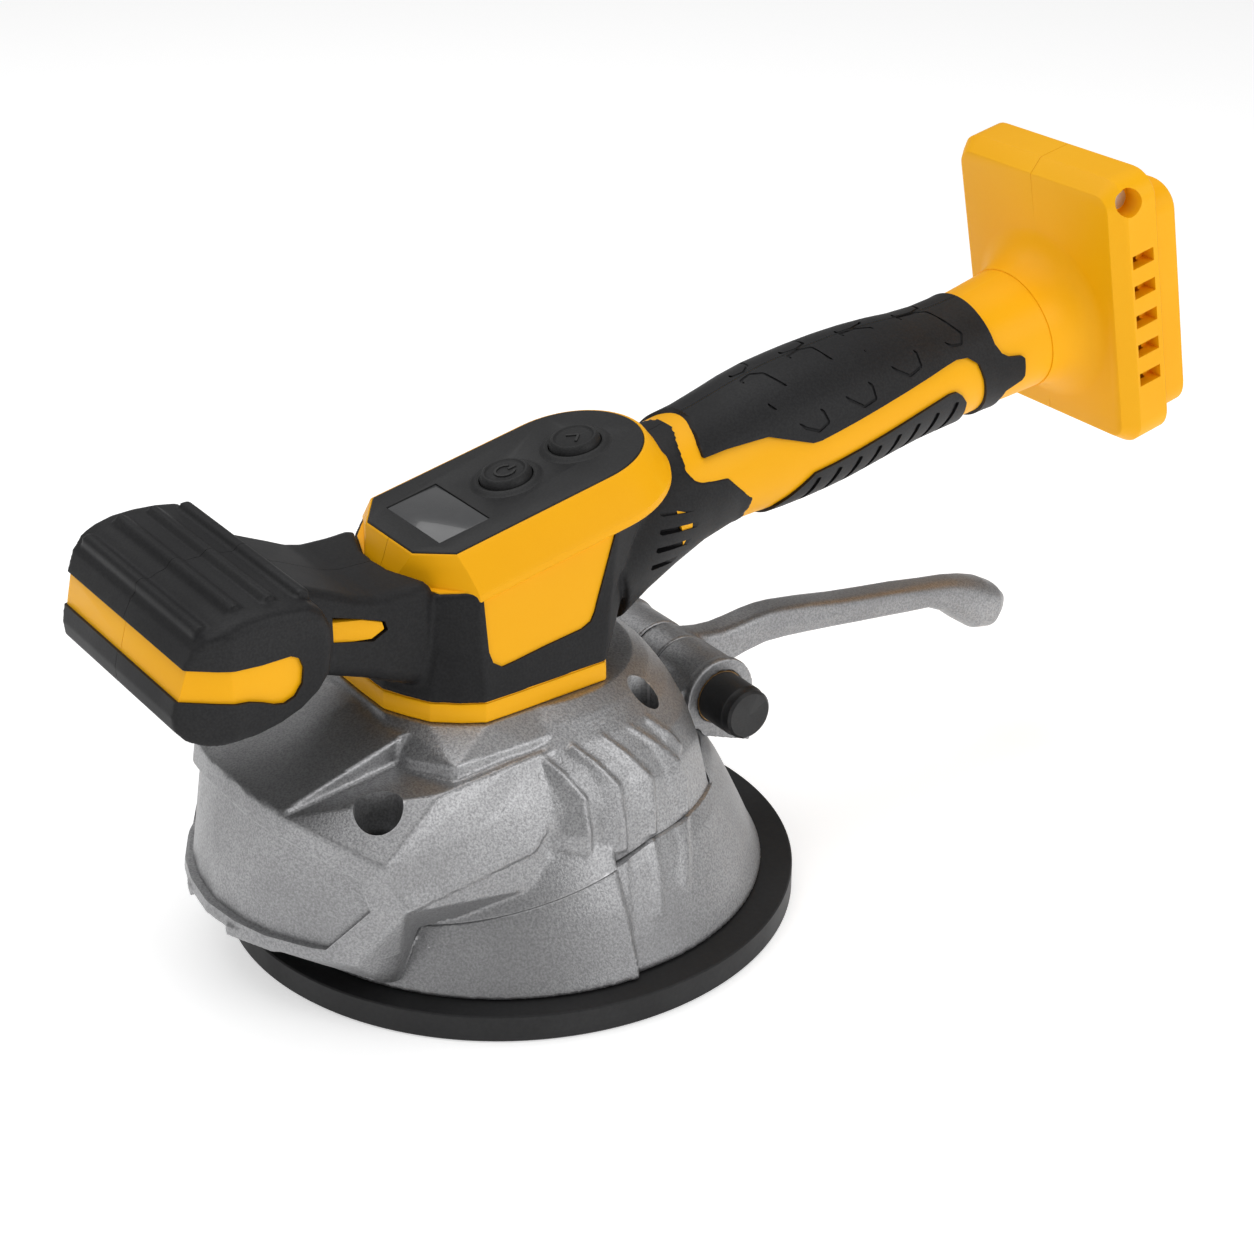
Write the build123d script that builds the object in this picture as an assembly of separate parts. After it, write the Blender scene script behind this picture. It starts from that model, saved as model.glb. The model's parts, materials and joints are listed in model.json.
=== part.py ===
from build123d import *
import math
import os

# Battery suction vibrator for laying floor and wall tiles.
# Millimetres. Origin: centre of the suction pad's lower face. +Z up, +Y towards the battery mount,
# -Y towards the palm grip, +X the operator's left-hand side.

# ---- driving dimensions -------------------------------------------------------------------------
TILT = 11.5                 # rise of the upper body towards the battery mount, degrees
PANEL_Y = -21.37            # display centre on the control panel
PANEL_Z = 129.82
WALL = 2.5                  # plastic wall and soft cover thickness
GAP = 0.35                  # air gap between bodies that move apart

PAD_R = 88.0                # rubber suction pad
PAD_T = 8.9
PLATE_R = 40.0              # steel plate in the middle of the pad
PLATE_Z = 5.2
PLATE_T = 3.0

SKIRT_BOTTOM_R = 80.5       # lower casting
SKIRT_TOP_R = 58.9
SKIRT_TOP_Z = 48.0
SKIRT_WALL = 4.0
DECK_Z = 40.0               # deck inside the skirt that carries the guide boss
BOSS_R = 12.0
BOSS_BOTTOM_Z = 24.0
BOSS_TOP_Z = 46.0

STUD_R = 4.0                # pull stud, M8
BUSH_R = 7.0
RUNNING_FIT = 0.05

HOOD_TOP_Z = 80.0           # upper casting
HOOD_WALL = 3.5
VISOR_RIM_R = 103.5
VISOR_RIM_Z = 25.0
VISOR_FOOT_Z = 14.0
SCREW_HOLE_R = 7.0
FRONT_SCREW = (39.0, -66.0, 44.0)   # x, y and seat height of the hood screws, one pair each
REAR_SCREW = (38.0, 24.0, 48.0)

PIVOT_Y = 61.0              # lever pivot
PIVOT_Z = 57.0
SHAFT_R = 6.5
BLOCK_IN_X = 6.2
BLOCK_OUT_X = 27.0
BLOCK_R = 11.8
NOSE_REACH = 20.0           # pivot to the lifting pin in the lever's nose
NOSE_PIN_R = 3.0

MOTOR_Y = -13.0             # vibration motor, axis along X
MOTOR_Z = 100.5
MOTOR_R = 16.5
MOTOR_HALF_L = 18.0
ROTOR_SHAFT_R = 1.6

BAND_BOTTOM_Z = 80.3        # yellow base band of the tower
BAND_TOP_Z = 86.4
BEZEL_V = -9.0              # height of the bezel's lower edge under the panel

GRIP_HALF_W = 42.0          # front palm grip
MOUNT_HALF_W = 38.0         # battery mount
MOUNT_FRONT_U = 231.0
MOUNT_STEP_U = 248.4
MOUNT_REAR_U = 257.5
MOUNT_TOP_V = 20.0
MOUNT_BOTTOM_V = -74.0

# Handle sections: distance along the tilted axis, centre height, half-width and half-height.
HANDLE_SECTIONS = [
    (40.0, -31.0, 30.0, 23.0),
    (65.0, -27.5, 24.5, 20.5),
    (90.0, -26.0, 20.0, 20.0),
    (118.0, -26.7, 22.6, 22.6),
    (135.0, -27.6, 22.6, 22.6),
    (155.0, -28.6, 21.5, 21.5),
    (174.0, -31.0, 19.9, 19.9),
    (193.0, -32.8, 19.5, 19.5),
    (217.0, -33.5, 21.0, 21.0),
]
BATTERY_AXIS_V = -33.5

# ---- tilted frame of the upper body -------------------------------------------------------------
ALONG = Vector(0, math.cos(math.radians(TILT)), math.sin(math.radians(TILT)))
ABOVE = Vector(0, -math.sin(math.radians(TILT)), math.cos(math.radians(TILT)))
PANEL = Vector(0, PANEL_Y, PANEL_Z)
ACROSS = Vector(1, 0, 0)
SIDES = {"left": 1, "right": -1}


def tilted(u, v, x=0.0):
    """Point u along the upper body, v above the control panel's plane, x to the left."""
    return PANEL + ALONG * u + ABOVE * v + ACROSS * x


def panel_plane(v):
    """Plane parallel to the control panel; sketch x is across and y runs rearwards."""
    return Plane(origin=tilted(0, v), x_dir=ACROSS, z_dir=ABOVE)


def section_plane(u):
    """Plane square to the handle's axis; sketch y is height above the panel's plane."""
    return Plane(origin=tilted(u, 0), x_dir=ACROSS, z_dir=-ALONG)


def side_plane(x=0.0):
    """Tilted side view; sketch x runs rearwards and y is height above the panel's plane."""
    return Plane(origin=tilted(0, 0, x), x_dir=ALONG, z_dir=ACROSS)


def side_prism(points, half_width, tilted_view=True):
    """Side-view outline extruded both ways across the object."""
    plane = side_plane() if tilted_view else Plane.YZ
    return extrude(plane * make_face(Polyline(points, close=True)), half_width, both=True)


def panel_prism(face, low, high):
    """Outline in panel coordinates, from height low to height high."""
    return extrude(panel_plane(low) * face, high - low)


def upright(radius, low, high, x=0.0, y=0.0):
    """Vertical cylinder between two heights."""
    return Pos(x, y, (low + high) / 2) * Cylinder(radius, high - low)


def crosswise(radius, low, high, y, z):
    """Cylinder along X between two values of x."""
    return Pos((low + high) / 2, y, z) * Rot(0, 90, 0) * Cylinder(radius, high - low)


def half_space(side):
    """Everything on one side of the middle plane."""
    return Pos(side * 200, 60, 120) * Box(400, 500, 400)


def mirrored(points):
    """Closed outline from its left half, front to rear."""
    return points + [(-x, y) for x, y in reversed(points)]


def largest(shape):
    """The main solid of a shape, without slivers left by the cuts."""
    return max(shape.solids(), key=lambda solid: solid.volume)


def write(node, *solids):
    """Write one sub-part."""
    shapes = []
    for solid in solids:
        shapes.extend(solid.solids())
    shape = shapes[0] if len(shapes) == 1 else Compound(shapes)
    export_step(shape, f"parts/{node}.step")


# ---- suction pad and pull stud ------------------------------------------------------------------
def suction_pad():
    """Rubber disc with a pocket for the plate and a sealing groove underneath."""
    pad = upright(PAD_R, 0, PAD_T)
    pad -= upright(PLATE_R + 1, PLATE_Z - GAP, PAD_T)
    pad -= upright(74, 0, 1.5) - upright(70, 0, 1.5)
    return pad


def pad_plate():
    """Steel plate with a raised middle that the stud screws into."""
    plate = upright(PLATE_R, PLATE_Z, PLATE_Z + PLATE_T)
    plate += upright(7.5, PLATE_Z + PLATE_T, PLATE_Z + PLATE_T + 3)
    return plate - upright(STUD_R, PLATE_Z + 1, PLATE_Z + PLATE_T + 3)


STUD_TOP_Z = 72.0
BAR_BOTTOM_Z = 52.0
BAR_TOP_Z = 62.0
NUT_T = 4.5


def pull_stud():
    """Threaded rod from the plate up through the guide bush and the lift bar."""
    stud = upright(STUD_R, PLATE_Z + 1, STUD_TOP_Z)
    return chamfer(stud.edges().sort_by(Axis.Z)[-1], 1)


def stud_nuts():
    """Two thin nuts that clamp the lift bar on the stud."""
    nut = extrude(RegularPolygon(6.5, 6, major_radius=False), NUT_T)
    nut -= Cylinder(STUD_R, 3 * NUT_T)
    return [Pos(0, 0, BAR_BOTTOM_Z - NUT_T) * nut, Pos(0, 0, BAR_TOP_Z) * nut]


def lift_bar():
    """Steel bar from the stud back to the lever's nose, forked round it."""
    half_w = 6.5
    fork_y = PIVOT_Y - NOSE_REACH
    bar = Pos(0, 19.5, PIVOT_Z) * Box(2 * half_w, 56, BAR_TOP_Z - BAR_BOTTOM_Z)
    bar -= Pos(0, fork_y, PIVOT_Z) * Box(6.8, 17, 20)
    bar -= upright(STUD_R, 0, 100)
    slot = Pos(0, fork_y, PIVOT_Z) * Box(40, 3, 2 * (NOSE_PIN_R + GAP))
    for end in (-1.5, 1.5):
        slot += crosswise(NOSE_PIN_R + GAP, -20, 20, fork_y + end, PIVOT_Z)
    return bar - slot


def stud_spring():
    """Return spring between the guide boss and the pad plate."""
    wire_r = 0.8
    coil_r = 9.0
    bottom = PLATE_Z + PLATE_T + wire_r + 0.2
    height = BOSS_BOTTOM_Z - bottom - wire_r - 0.2
    path = Helix(height / 4, height, coil_r)
    section = Plane(origin=path @ 0, z_dir=path % 0) * Circle(wire_r)
    return Pos(0, 0, bottom) * sweep(section, path=path)


# ---- castings -----------------------------------------------------------------------------------
def skirt_cone(inset, low, high):
    """Solid of revolution of the skirt's outside, less an inset."""
    bottom_z = PAD_T + 0.02
    outline = [
        (0, low), (SKIRT_BOTTOM_R - inset, low), (SKIRT_BOTTOM_R - inset, bottom_z + 2),
        (76.4 - inset, 15), (69.9 - inset, 29), (62.6 - inset, 43), (SKIRT_TOP_R - inset, high),
        (0, high),
    ]
    return revolve(Plane.XZ * make_face(Polyline(outline, close=True)), Axis.Z)


def skirt():
    """Lower casting: conical bell with a ribbed deck and the stud's guide boss."""
    bell = skirt_cone(0, PAD_T, SKIRT_TOP_Z) - skirt_cone(SKIRT_WALL, PAD_T - 1, DECK_Z)
    bell -= upright(50, DECK_Z + 4, SKIRT_TOP_Z)
    bell += upright(BOSS_R, BOSS_BOTTOM_Z, BOSS_TOP_Z)
    for turn in range(6):
        rib = Pos(0, 34, (DECK_Z + 26) / 2) * Box(3, 46, DECK_Z - 26)
        bell += Rot(0, 0, 60 * turn + 30) * rib & skirt_cone(1, PAD_T, DECK_Z)
    for x, y, seat_z in screw_places():
        lug = upright(8, seat_z - 18, seat_z, x, y) - skirt_cone(SKIRT_WALL, 0, DECK_Z)
        bell += lug
        bell -= upright(2.5, seat_z - 12, seat_z, x, y)
    bell -= crosswise(BLOCK_R + 0.8, -BLOCK_IN_X - 0.8, BLOCK_IN_X + 0.8, PIVOT_Y, PIVOT_Z)
    return bell - upright(BUSH_R, 0, 100)


def stud_guide():
    """Bronze bush in the boss."""
    return upright(BUSH_R, BOSS_BOTTOM_Z, BOSS_TOP_Z) - upright(STUD_R + RUNNING_FIT, 0, 100)


def screw_places():
    """Centres and seat heights of the four recessed screws that hold the hood on the skirt."""
    places = []
    for x, y, seat_z in (FRONT_SCREW, REAR_SCREW):
        places += [(x, y, seat_z), (-x, y, seat_z)]
    return places


def visor_plan(inset=0.0):
    """Outline of the front visor from above."""
    half_w = 52.0 - inset
    rim = Spline((half_w, -70), (47 - inset, -84 + inset), (20, -101 + inset), (0, -VISOR_RIM_R + inset),
                 (-20, -101 + inset), (-47 + inset, -84 + inset), (-half_w, -70))
    back = Polyline([(-half_w, -70), (-half_w, -20), (half_w, -20), (half_w, -70)])
    return make_face(Curve() + [rim, back])


def visor_body(inset=0.0):
    """Front visor: a beak that rises from the feet to the rim and slopes back to the tower."""
    outline = [(0, 5), (VISOR_RIM_R, 5), (VISOR_RIM_R, 29), (94 - inset, 63 - inset), (50, 74 - inset),
               (0, 74 - inset)]
    beak = revolve(Plane.XZ * make_face(Polyline(outline, close=True)), Axis.Z)
    under = [(-60, 0), (-60, 40), (-70, VISOR_FOOT_Z), (-VISOR_RIM_R, VISOR_RIM_Z), (-130, VISOR_RIM_Z + 9),
             (-130, 0)]
    beak &= extrude(visor_plan(inset), 100)
    return beak - side_prism(under, 100, tilted_view=False)


def hood_body(inset=0.0):
    """Outside of the hood, less an inset."""
    outline = [
        (0, 41), (62.6 - inset, 41), (58.5 - inset, 57), (48.5 - inset, 71.5 - inset),
        (42 - inset, HOOD_TOP_Z - inset), (0, HOOD_TOP_Z - inset),
    ]
    dome = revolve(Plane.XZ * make_face(Polyline(outline, close=True)), Axis.Z)
    return dome + visor_body(inset)


def hood():
    """Upper casting: faceted dome and front visor over the skirt, with the screw recesses."""
    shell = hood_body() - hood_body(HOOD_WALL)
    shell -= skirt_cone(-GAP, 0, SKIRT_TOP_Z + 0.02)
    for x, y, seat_z in screw_places():
        shell += upright(SCREW_HOLE_R + 2.5, seat_z + 0.02, 72, x, y) & hood_body()
        shell -= upright(SCREW_HOLE_R, seat_z + 6, 100, x, y)
        shell -= upright(2.75, 0, 100, x, y)
    shell -= skirt()
    lever_slot = Pos(0, 60, 56) * Box(2 * BLOCK_OUT_X + 1.2, 50, 60)
    lever_slot -= Pos(0, 60, 96) * Box(100, 100, 40)
    shell -= crosswise(9.2, -50, 50, PIVOT_Y, PIVOT_Z)
    return largest(shell - lever_slot)


def hood_screws():
    """Four socket-head screws down through the hood into the skirt."""
    screws = []
    for x, y, seat_z in screw_places():
        head = upright(4.25, seat_z + 6, seat_z + 11, x, y)
        head -= upright(2.2, seat_z + 8, seat_z + 11, x, y)
        screws.append(head + upright(2.5, seat_z - 10, seat_z + 6, x, y))
    return screws


# ---- suction lever ------------------------------------------------------------------------------
def pivot_block(side):
    """Cast pillow block beside the lever, arched over the shaft."""
    middle = side * (BLOCK_IN_X + BLOCK_OUT_X) / 2
    length = BLOCK_OUT_X - BLOCK_IN_X
    foot_z = SKIRT_TOP_Z + 0.3
    block = Pos(middle, PIVOT_Y, PIVOT_Z) * Rot(0, 90, 0) * Cylinder(BLOCK_R, length)
    block += Pos(middle, PIVOT_Y, (PIVOT_Z + 36) / 2) * Box(length, 2 * BLOCK_R, PIVOT_Z - 36)
    block -= skirt_cone(-0.02, PAD_T, SKIRT_TOP_Z)
    block -= Pos(0, PIVOT_Y - 20, 30) * Box(100, 40, 2 * (foot_z - 30))
    return block - crosswise(SHAFT_R + 2, -50, 50, PIVOT_Y, PIVOT_Z)


def pivot_bushes():
    """A bronze bush in each pillow block."""
    bushes = []
    for side in SIDES.values():
        low, high = sorted((side * BLOCK_IN_X, side * BLOCK_OUT_X))
        bush = crosswise(SHAFT_R + 2, low, high, PIVOT_Y, PIVOT_Z)
        bushes.append(bush - crosswise(SHAFT_R + RUNNING_FIT, -50, 50, PIVOT_Y, PIVOT_Z))
    return bushes


def lever_shaft():
    """Steel shaft that turns with the lever."""
    return crosswise(SHAFT_R, -30, 30, PIVOT_Y, PIVOT_Z)


def shaft_caps():
    """Black end caps pressed on the shaft's ends."""
    caps = []
    for side in SIDES.values():
        low, high = sorted((side * (BLOCK_OUT_X + 0.6), side * 41.8))
        cap = crosswise(8.2, low, high, PIVOT_Y, PIVOT_Z)
        cap = chamfer(cap.edges().sort_by(Axis.X)[-1 if side > 0 else 0], 1)
        caps.append(cap - lever_shaft())
    return caps


def lever():
    """Cast lever: hub, nose forwards into the hood and a curved arm to a drooping ball end."""
    half_w = BLOCK_IN_X - GAP
    top = [(61, 68.6), (67.7, 67.5), (79, 65.4), (91.5, 66.6), (102, 66.7), (127, 62.6), (167, 57),
           (184, 54.2)]
    under = [(184, 42.5), (170, 44.6), (166, 48.2), (134.5, 51.8), (112, 54.4), (96, 55.6), (80, 52.5),
             (61, 46)]
    arm = side_prism(top + under, half_w, tilted_view=False)
    hub = crosswise(BLOCK_R - 0.2, -half_w, half_w, PIVOT_Y, PIVOT_Z)
    ball = Pos(0, 190, 42.5) * Sphere(10.2)
    neck = Pos(0, 186, 47) * Sphere(8)
    nose_y = PIVOT_Y - NOSE_REACH
    nose = crosswise(5, -3, 3, nose_y, PIVOT_Z)
    nose += Pos(0, PIVOT_Y - NOSE_REACH / 2, PIVOT_Z) * Box(6, NOSE_REACH, 10)
    cast = arm + hub + ball + neck + nose
    cast -= crosswise(NOSE_PIN_R, -10, 10, nose_y, PIVOT_Z)
    return cast - lever_shaft()


def lifting_pin():
    """Cross pin in the lever's nose that works in the lift bar's slots."""
    return crosswise(NOSE_PIN_R, -7, 7, PIVOT_Y - NOSE_REACH, PIVOT_Z)


# ---- tower and control panel --------------------------------------------------------------------
def tower_foot(inset=0.0):
    """Outline of the tower where it stands on the base band."""
    points = mirrored([(13, -48.8), (27, -42), (36.3, -29), (34.2, 13), (28, 17)])
    face = make_face(Polyline(points, close=True))
    return offset(face, -inset, kind=Kind.INTERSECTION) if inset else face


def tower_head(inset=0.0):
    """Outline of the tower under the bezel, in panel coordinates."""
    points = mirrored([(7.7, -22.6), (24, -16.6), (32.5, -8.5), (32.5, 47), (20, 66)])
    face = make_face(Polyline(points, close=True))
    return offset(face, -inset, kind=Kind.INTERSECTION) if inset else face


def tower_body(inset=0.0):
    """Tapering tower between the band and the bezel."""
    foot = Pos(0, 0, BAND_TOP_Z) * tower_foot(inset)
    head = panel_plane(BEZEL_V) * tower_head(inset)
    return loft([foot, head], ruled=True)


def panel_outline(grow=0.0):
    """Control panel outline: chamfered front and round rear, in panel coordinates."""
    half_w = 23.4
    rear = 45.0
    line = Polyline([(-half_w, rear), (-half_w, -8.2), (-12.8, -16.5), (12.8, -16.5), (half_w, -8.2),
                     (half_w, rear)])
    arc = ThreePointArc((half_w, rear), (0, rear + half_w), (-half_w, rear))
    face = make_face(Curve() + [line, arc])
    return offset(face, grow, kind=Kind.INTERSECTION) if grow else face


def bezel_skirt():
    """Lower outline of the bezel, in panel coordinates."""
    half_w = 32.5
    rear = 43.0
    line = Polyline([(-half_w, rear), (-half_w, -8.5), (-7.7, -22.6), (7.7, -22.6), (half_w, -8.5),
                     (half_w, rear)])
    arc = ThreePointArc((half_w, rear), (0, rear + half_w), (-half_w, rear))
    return make_face(Curve() + [line, arc])


def bezel_body():
    """Bevelled frame round the control panel."""
    return loft([panel_plane(BEZEL_V) * bezel_skirt(), panel_plane(0) * panel_outline(0.6)])


def side_window():
    """Region of each tower side that stays bare of soft cover."""
    outline = [(-26.4, 119.9), (-26.2, 100.9), (-22.3, 94.4), (8.3, 98.6), (18.1, 126), (18.2, 131.3)]
    return side_prism(outline, 60, tilted_view=False) - Pos(0, 0, 110) * Box(48, 200, 200)


def handle_body(inset=0.0):
    """Round handle, wider where it leaves the tower."""
    faces = []
    for u, v, half_w, half_h in HANDLE_SECTIONS:
        faces.append(section_plane(u) * Pos(0, v) * Ellipse(half_w - inset, half_h - inset))
    return loft(faces)


def behind_tower():
    """Region behind the boundary between the tower and handle mouldings."""
    return side_prism([(76, 40), (79.5, 0), (84, -30), (90, -60), (240, -60), (240, 40)], 60)


def tower_room():
    """Hollow inside the tower."""
    room = tower_body(2 * WALL)
    room += panel_prism(panel_outline(-2.5), BEZEL_V - 4, 1)
    return room


def tower_core():
    """Hard plastic of the tower, both halves together."""
    core = tower_body(WALL) + bezel_body()
    core += tower_body() & side_window()
    core -= tower_room()
    core -= panel_prism(panel_outline(), -2.5, 5)
    core -= grip_neck(WALL)
    return core - handle_body(2 * WALL)


def tower_cover():
    """Soft black cover moulded round the tower and its rear throat."""
    throat = handle_body() - behind_tower()
    cover = tower_body() + throat
    cover -= tower_body(WALL) + bezel_body() + (tower_body() & side_window())
    cover -= handle_body(WALL)
    cover -= panel_prism(panel_outline(9), BEZEL_V, 10)
    return cover - grip_neck(0)


def throat_core():
    """Hard plastic tube inside the rear throat, up to the tower's rear wall."""
    tube = (handle_body(WALL) - handle_body(2 * WALL)) - behind_tower()
    return tube - tower_body(WALL) - bezel_body()


def base_band():
    """Band under the tower that stands on the hood."""
    face = tower_foot(-0.4)
    return Pos(0, 0, BAND_BOTTOM_Z) * (extrude(face, BAND_TOP_Z - BAND_BOTTOM_Z)
                                       - extrude(tower_foot(WALL * 2), 20))


BUTTON_R = 7.8
BUTTON_PLACES = {"power_button": 24.0, "up_button": 48.5}
COLLAR_R = 10.8
DISPLAY_W = 29.7
DISPLAY_L = 17.2
BOARD_V = -11.0
BOARD_W = 37.0
LEADS_V = -28.0
LEADS_FRONT_U = 51.0


def control_panel():
    """Black fascia in the bezel, open for the display and the buttons."""
    plate = panel_prism(panel_outline(-0.1), -2.4, 0)
    plate -= panel_prism(Rectangle(DISPLAY_W, DISPLAY_L), -1.2, 1)
    plate -= panel_prism(Rectangle(DISPLAY_W - 4, DISPLAY_L - 4), -5, 1)
    for u in BUTTON_PLACES.values():
        plate -= panel_prism(Pos(0, u) * Circle(BUTTON_R + GAP), -5, 1)
    return plate


def display_lens():
    """Tinted window over the display."""
    return panel_prism(Rectangle(DISPLAY_W - 0.2, DISPLAY_L - 0.2), -1.2, 0)


def display_module():
    """Display under the window, on the circuit board."""
    return panel_prism(Rectangle(DISPLAY_W - 5, DISPLAY_L - 5), BOARD_V, -1.3)


def button_collars():
    """Raised ring round each button, bonded on the fascia."""
    rings = []
    for u in BUTTON_PLACES.values():
        low = panel_plane(0) * Pos(0, u) * Circle(COLLAR_R)
        high = panel_plane(1.8) * Pos(0, u) * Circle(COLLAR_R - 1)
        ring = loft([low, high])
        rings.append(ring - panel_prism(Pos(0, u) * Circle(BUTTON_R + GAP), -1, 4))
    return rings


def push_button(u, mark):
    """Round button with a dished top, a raised mark and a plunger."""
    button = panel_prism(Pos(0, u) * Circle(BUTTON_R), -2.2, 3.4)
    button -= panel_prism(Pos(0, u) * Circle(5.5), 2.9, 4)
    button += panel_prism(Pos(0, u) * Circle(2), -4.6, -2.2)
    return button + panel_prism(Pos(0, u) * mark, 2.9, 3.3)


def power_mark():
    """Open ring with a short bar."""
    ring = Circle(3) - Circle(2.3) - Pos(0, 3) * Rectangle(2, 3)
    return ring + Pos(0, 2.4) * Rectangle(0.7, 2.4)


def up_mark():
    """Chevron."""
    return make_face(Polyline([(-2.4, -1), (0, 1.4), (2.4, -1), (2.4, 0), (0, 2.4), (-2.4, 0)], close=True))


def key_switches():
    """A small switch under each button."""
    return [panel_prism(Pos(0, u) * Rectangle(6, 6), BOARD_V, -6) for u in BUTTON_PLACES.values()]


def circuit_board():
    """Control board under the fascia."""
    return panel_prism(Pos(0, 22.5) * Rectangle(BOARD_W, 61), BOARD_V - 1.6, BOARD_V)


def panel_frame():
    """Carrier that holds the board under the fascia, open behind the rear button."""
    outside = Pos(0, 32) * Rectangle(BOARD_W, 42)
    inside = Pos(0, 37) * Rectangle(BOARD_W - 3, 49)
    return panel_prism(outside - inside, BOARD_V, -2.4)


# ---- front palm grip ----------------------------------------------------------------------------
def grip_bar(inset=0.0):
    """Cross bar of the palm grip with chamfered front corners."""
    outline = [
        (-77.5, 121.5), (-78.3, 128), (-81.8, 134.5), (-88, 136.2), (-103.7, 136.3), (-111.4, 133.9),
        (-116, 131), (-119, 125.7), (-122, 115.3), (-123.3, 110.7), (-122.3, 105.5), (-117, 102),
        (-110, 101), (-100, 101), (-88, 104.5), (-79, 112.4),
    ]
    section = make_face(Polyline(outline, close=True))
    plan = make_face(Polyline(mirrored([(34, -123.4), (GRIP_HALF_W, -108), (GRIP_HALF_W, -70)]), close=True))
    if inset:
        section = offset(section, -inset, kind=Kind.INTERSECTION)
        plan = offset(plan, -inset, kind=Kind.INTERSECTION)
    return extrude(Plane.YZ * section, 60, both=True) & extrude(plan, 200)


def grip_neck(inset=0.0):
    """Neck between the tower and the palm grip."""
    outline = [(-40, 120.5), (-54.6, 120.8), (-65.4, 124.9), (-75.9, 129.8), (-92, 133), (-92, 108),
               (-60, 97), (-40, 90)]
    section = make_face(Polyline(outline, close=True))
    if inset:
        section = offset(section, -inset, kind=Kind.INTERSECTION)
    return extrude(Plane.YZ * section, 24 - inset, both=True)


def grip_stripe():
    """Band round the grip that stays bare of soft cover."""
    outline = [(-130, 116.4), (-86, 113), (-86, 122.5), (-130, 125)]
    return side_prism(outline, 60, tilted_view=False)


def neck_tab():
    """Small window on each side of the neck."""
    outline = [(-70, 111.5), (-57, 108), (-52.5, 110.5), (-52.5, 114), (-70, 120.5)]
    return side_prism(outline, 60, tilted_view=False) - Pos(0, 0, 110) * Box(38, 300, 100)


def grip_outside():
    """Grip and neck as one shape, in front of the tower."""
    return grip_bar() + (grip_neck() - tower_body() - bezel_body())


def grip_core():
    """Hard plastic of the grip."""
    hollow = grip_bar(2 * WALL) + grip_neck(2 * WALL)
    core = grip_bar(WALL) + (grip_neck(WALL) - tower_body() - bezel_body())
    core += grip_outside() & (grip_stripe() + neck_tab())
    return core - hollow


def grip_cover():
    """Soft black cover of the grip, with raised ribs on top."""
    cover = grip_outside() - grip_bar(WALL) - grip_neck(WALL)
    cover -= grip_stripe() + neck_tab()
    for y, z in ((-113.8, 131.9), (-101.3, 135.6), (-90.7, 135.6)):
        cover += Pos(0, y, z) * Box(70, 3.4, 1.4) - grip_bar(WALL)
    return cover


# ---- rear handle --------------------------------------------------------------------------------
def handle_tube():
    """Hard plastic core of the handle, full size where no soft cover lies."""
    return (handle_body() - handle_body(2 * WALL)) & behind_tower()


def handle_cover_region():
    """Side-view region of the upper soft cover."""
    return side_prism([(86, 20), (87.5, -20), (101, -21), (116, -24), (134, -27), (178, -27),
                       (186, -33), (187, -44), (193, -46), (196, -41), (196, 20)], 60)


def handle_pad_region():
    """Side-view region of the lower soft pad."""
    return side_prism([(108, -60), (118, -42), (132, -35), (178, -36), (183, -46), (187, -60)], 60)


def handle_skin():
    """Outer layer of the handle behind the tower."""
    return (handle_body() - handle_body(WALL)) & behind_tower()


# ---- battery mount ------------------------------------------------------------------------------
def mount_block(half_w, low_v, high_v, radius, front_u, rear_u):
    """Rounded block square to the handle's axis."""
    height = high_v - low_v
    face = Pos(0, (low_v + high_v) / 2) * RectangleRounded(2 * half_w, height, radius)
    return extrude(section_plane(rear_u) * face, rear_u - front_u)


def mount_flare():
    """Bell-shaped transition from the handle to the plate."""
    axis = Axis(tilted(0, BATTERY_AXIS_V), ALONG)
    outline = [(217, 0), (217, 21), (226, 23.5), (230, 27.5), (MOUNT_FRONT_U, 31), (MOUNT_FRONT_U, 0)]
    points = [(u, BATTERY_AXIS_V + r) for u, r in outline]
    return revolve(side_plane() * make_face(Polyline(points, close=True)), axis)


def mount_outside():
    """Plate with a chamfered front edge and a stepped rear."""
    front = mount_block(MOUNT_HALF_W, MOUNT_BOTTOM_V, MOUNT_TOP_V, 9, MOUNT_FRONT_U, MOUNT_STEP_U)
    front = chamfer(front.faces().sort_by(Axis(tilted(0, 0), ALONG))[0].outer_wire().edges(), 4)
    rear = mount_block(MOUNT_HALF_W - 1, -68, 12.3, 9, MOUNT_STEP_U, MOUNT_REAR_U)
    return front + rear + mount_flare()


def mount_shell():
    """Battery mount: hollow plate, open behind between two battery rails."""
    shell = mount_outside()
    shell -= mount_block(MOUNT_HALF_W - 4, -64, 9, 6, MOUNT_FRONT_U + 3, MOUNT_STEP_U - 5.4)
    shell -= terminal_block()
    shell -= mount_block(27.0, -90, 9, 0.5, MOUNT_STEP_U - 1, MOUNT_REAR_U + 5)
    shell -= mount_block(31.0, -90, 9, 0.5, MOUNT_STEP_U - 1, MOUNT_STEP_U + 4)
    shell -= extrude(section_plane(245) * Pos(0, BATTERY_AXIS_V) * Circle(14), 60)
    shell -= side_slots()
    shell -= mount_screw_hole(4.5, 30, 45)
    return shell - mount_screw_hole(1.6, 2, 31)


def side_slots():
    """Five slots through each side wall."""
    slots = []
    for index in range(5):
        v = -5 - 10.5 * index
        slots.append(side_prism([(237, v), (246, v), (246, v - 4.6), (237, v - 4.6)], 60)
                     - Pos(0, 200, 120) * Box(2 * MOUNT_HALF_W - 10, 200, 300))
    return slots


def mount_screw_hole(radius, low, high):
    """Hole across the plate's upper front corner."""
    centre = tilted(238, 13)
    return crosswise(radius, low, high, centre.Y, centre.Z)


def mount_screw():
    """Pan-head screw across the two halves of the battery mount."""
    return mount_screw_hole(3.2, 30, 32) + mount_screw_hole(1.6, 2, 30)


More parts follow.
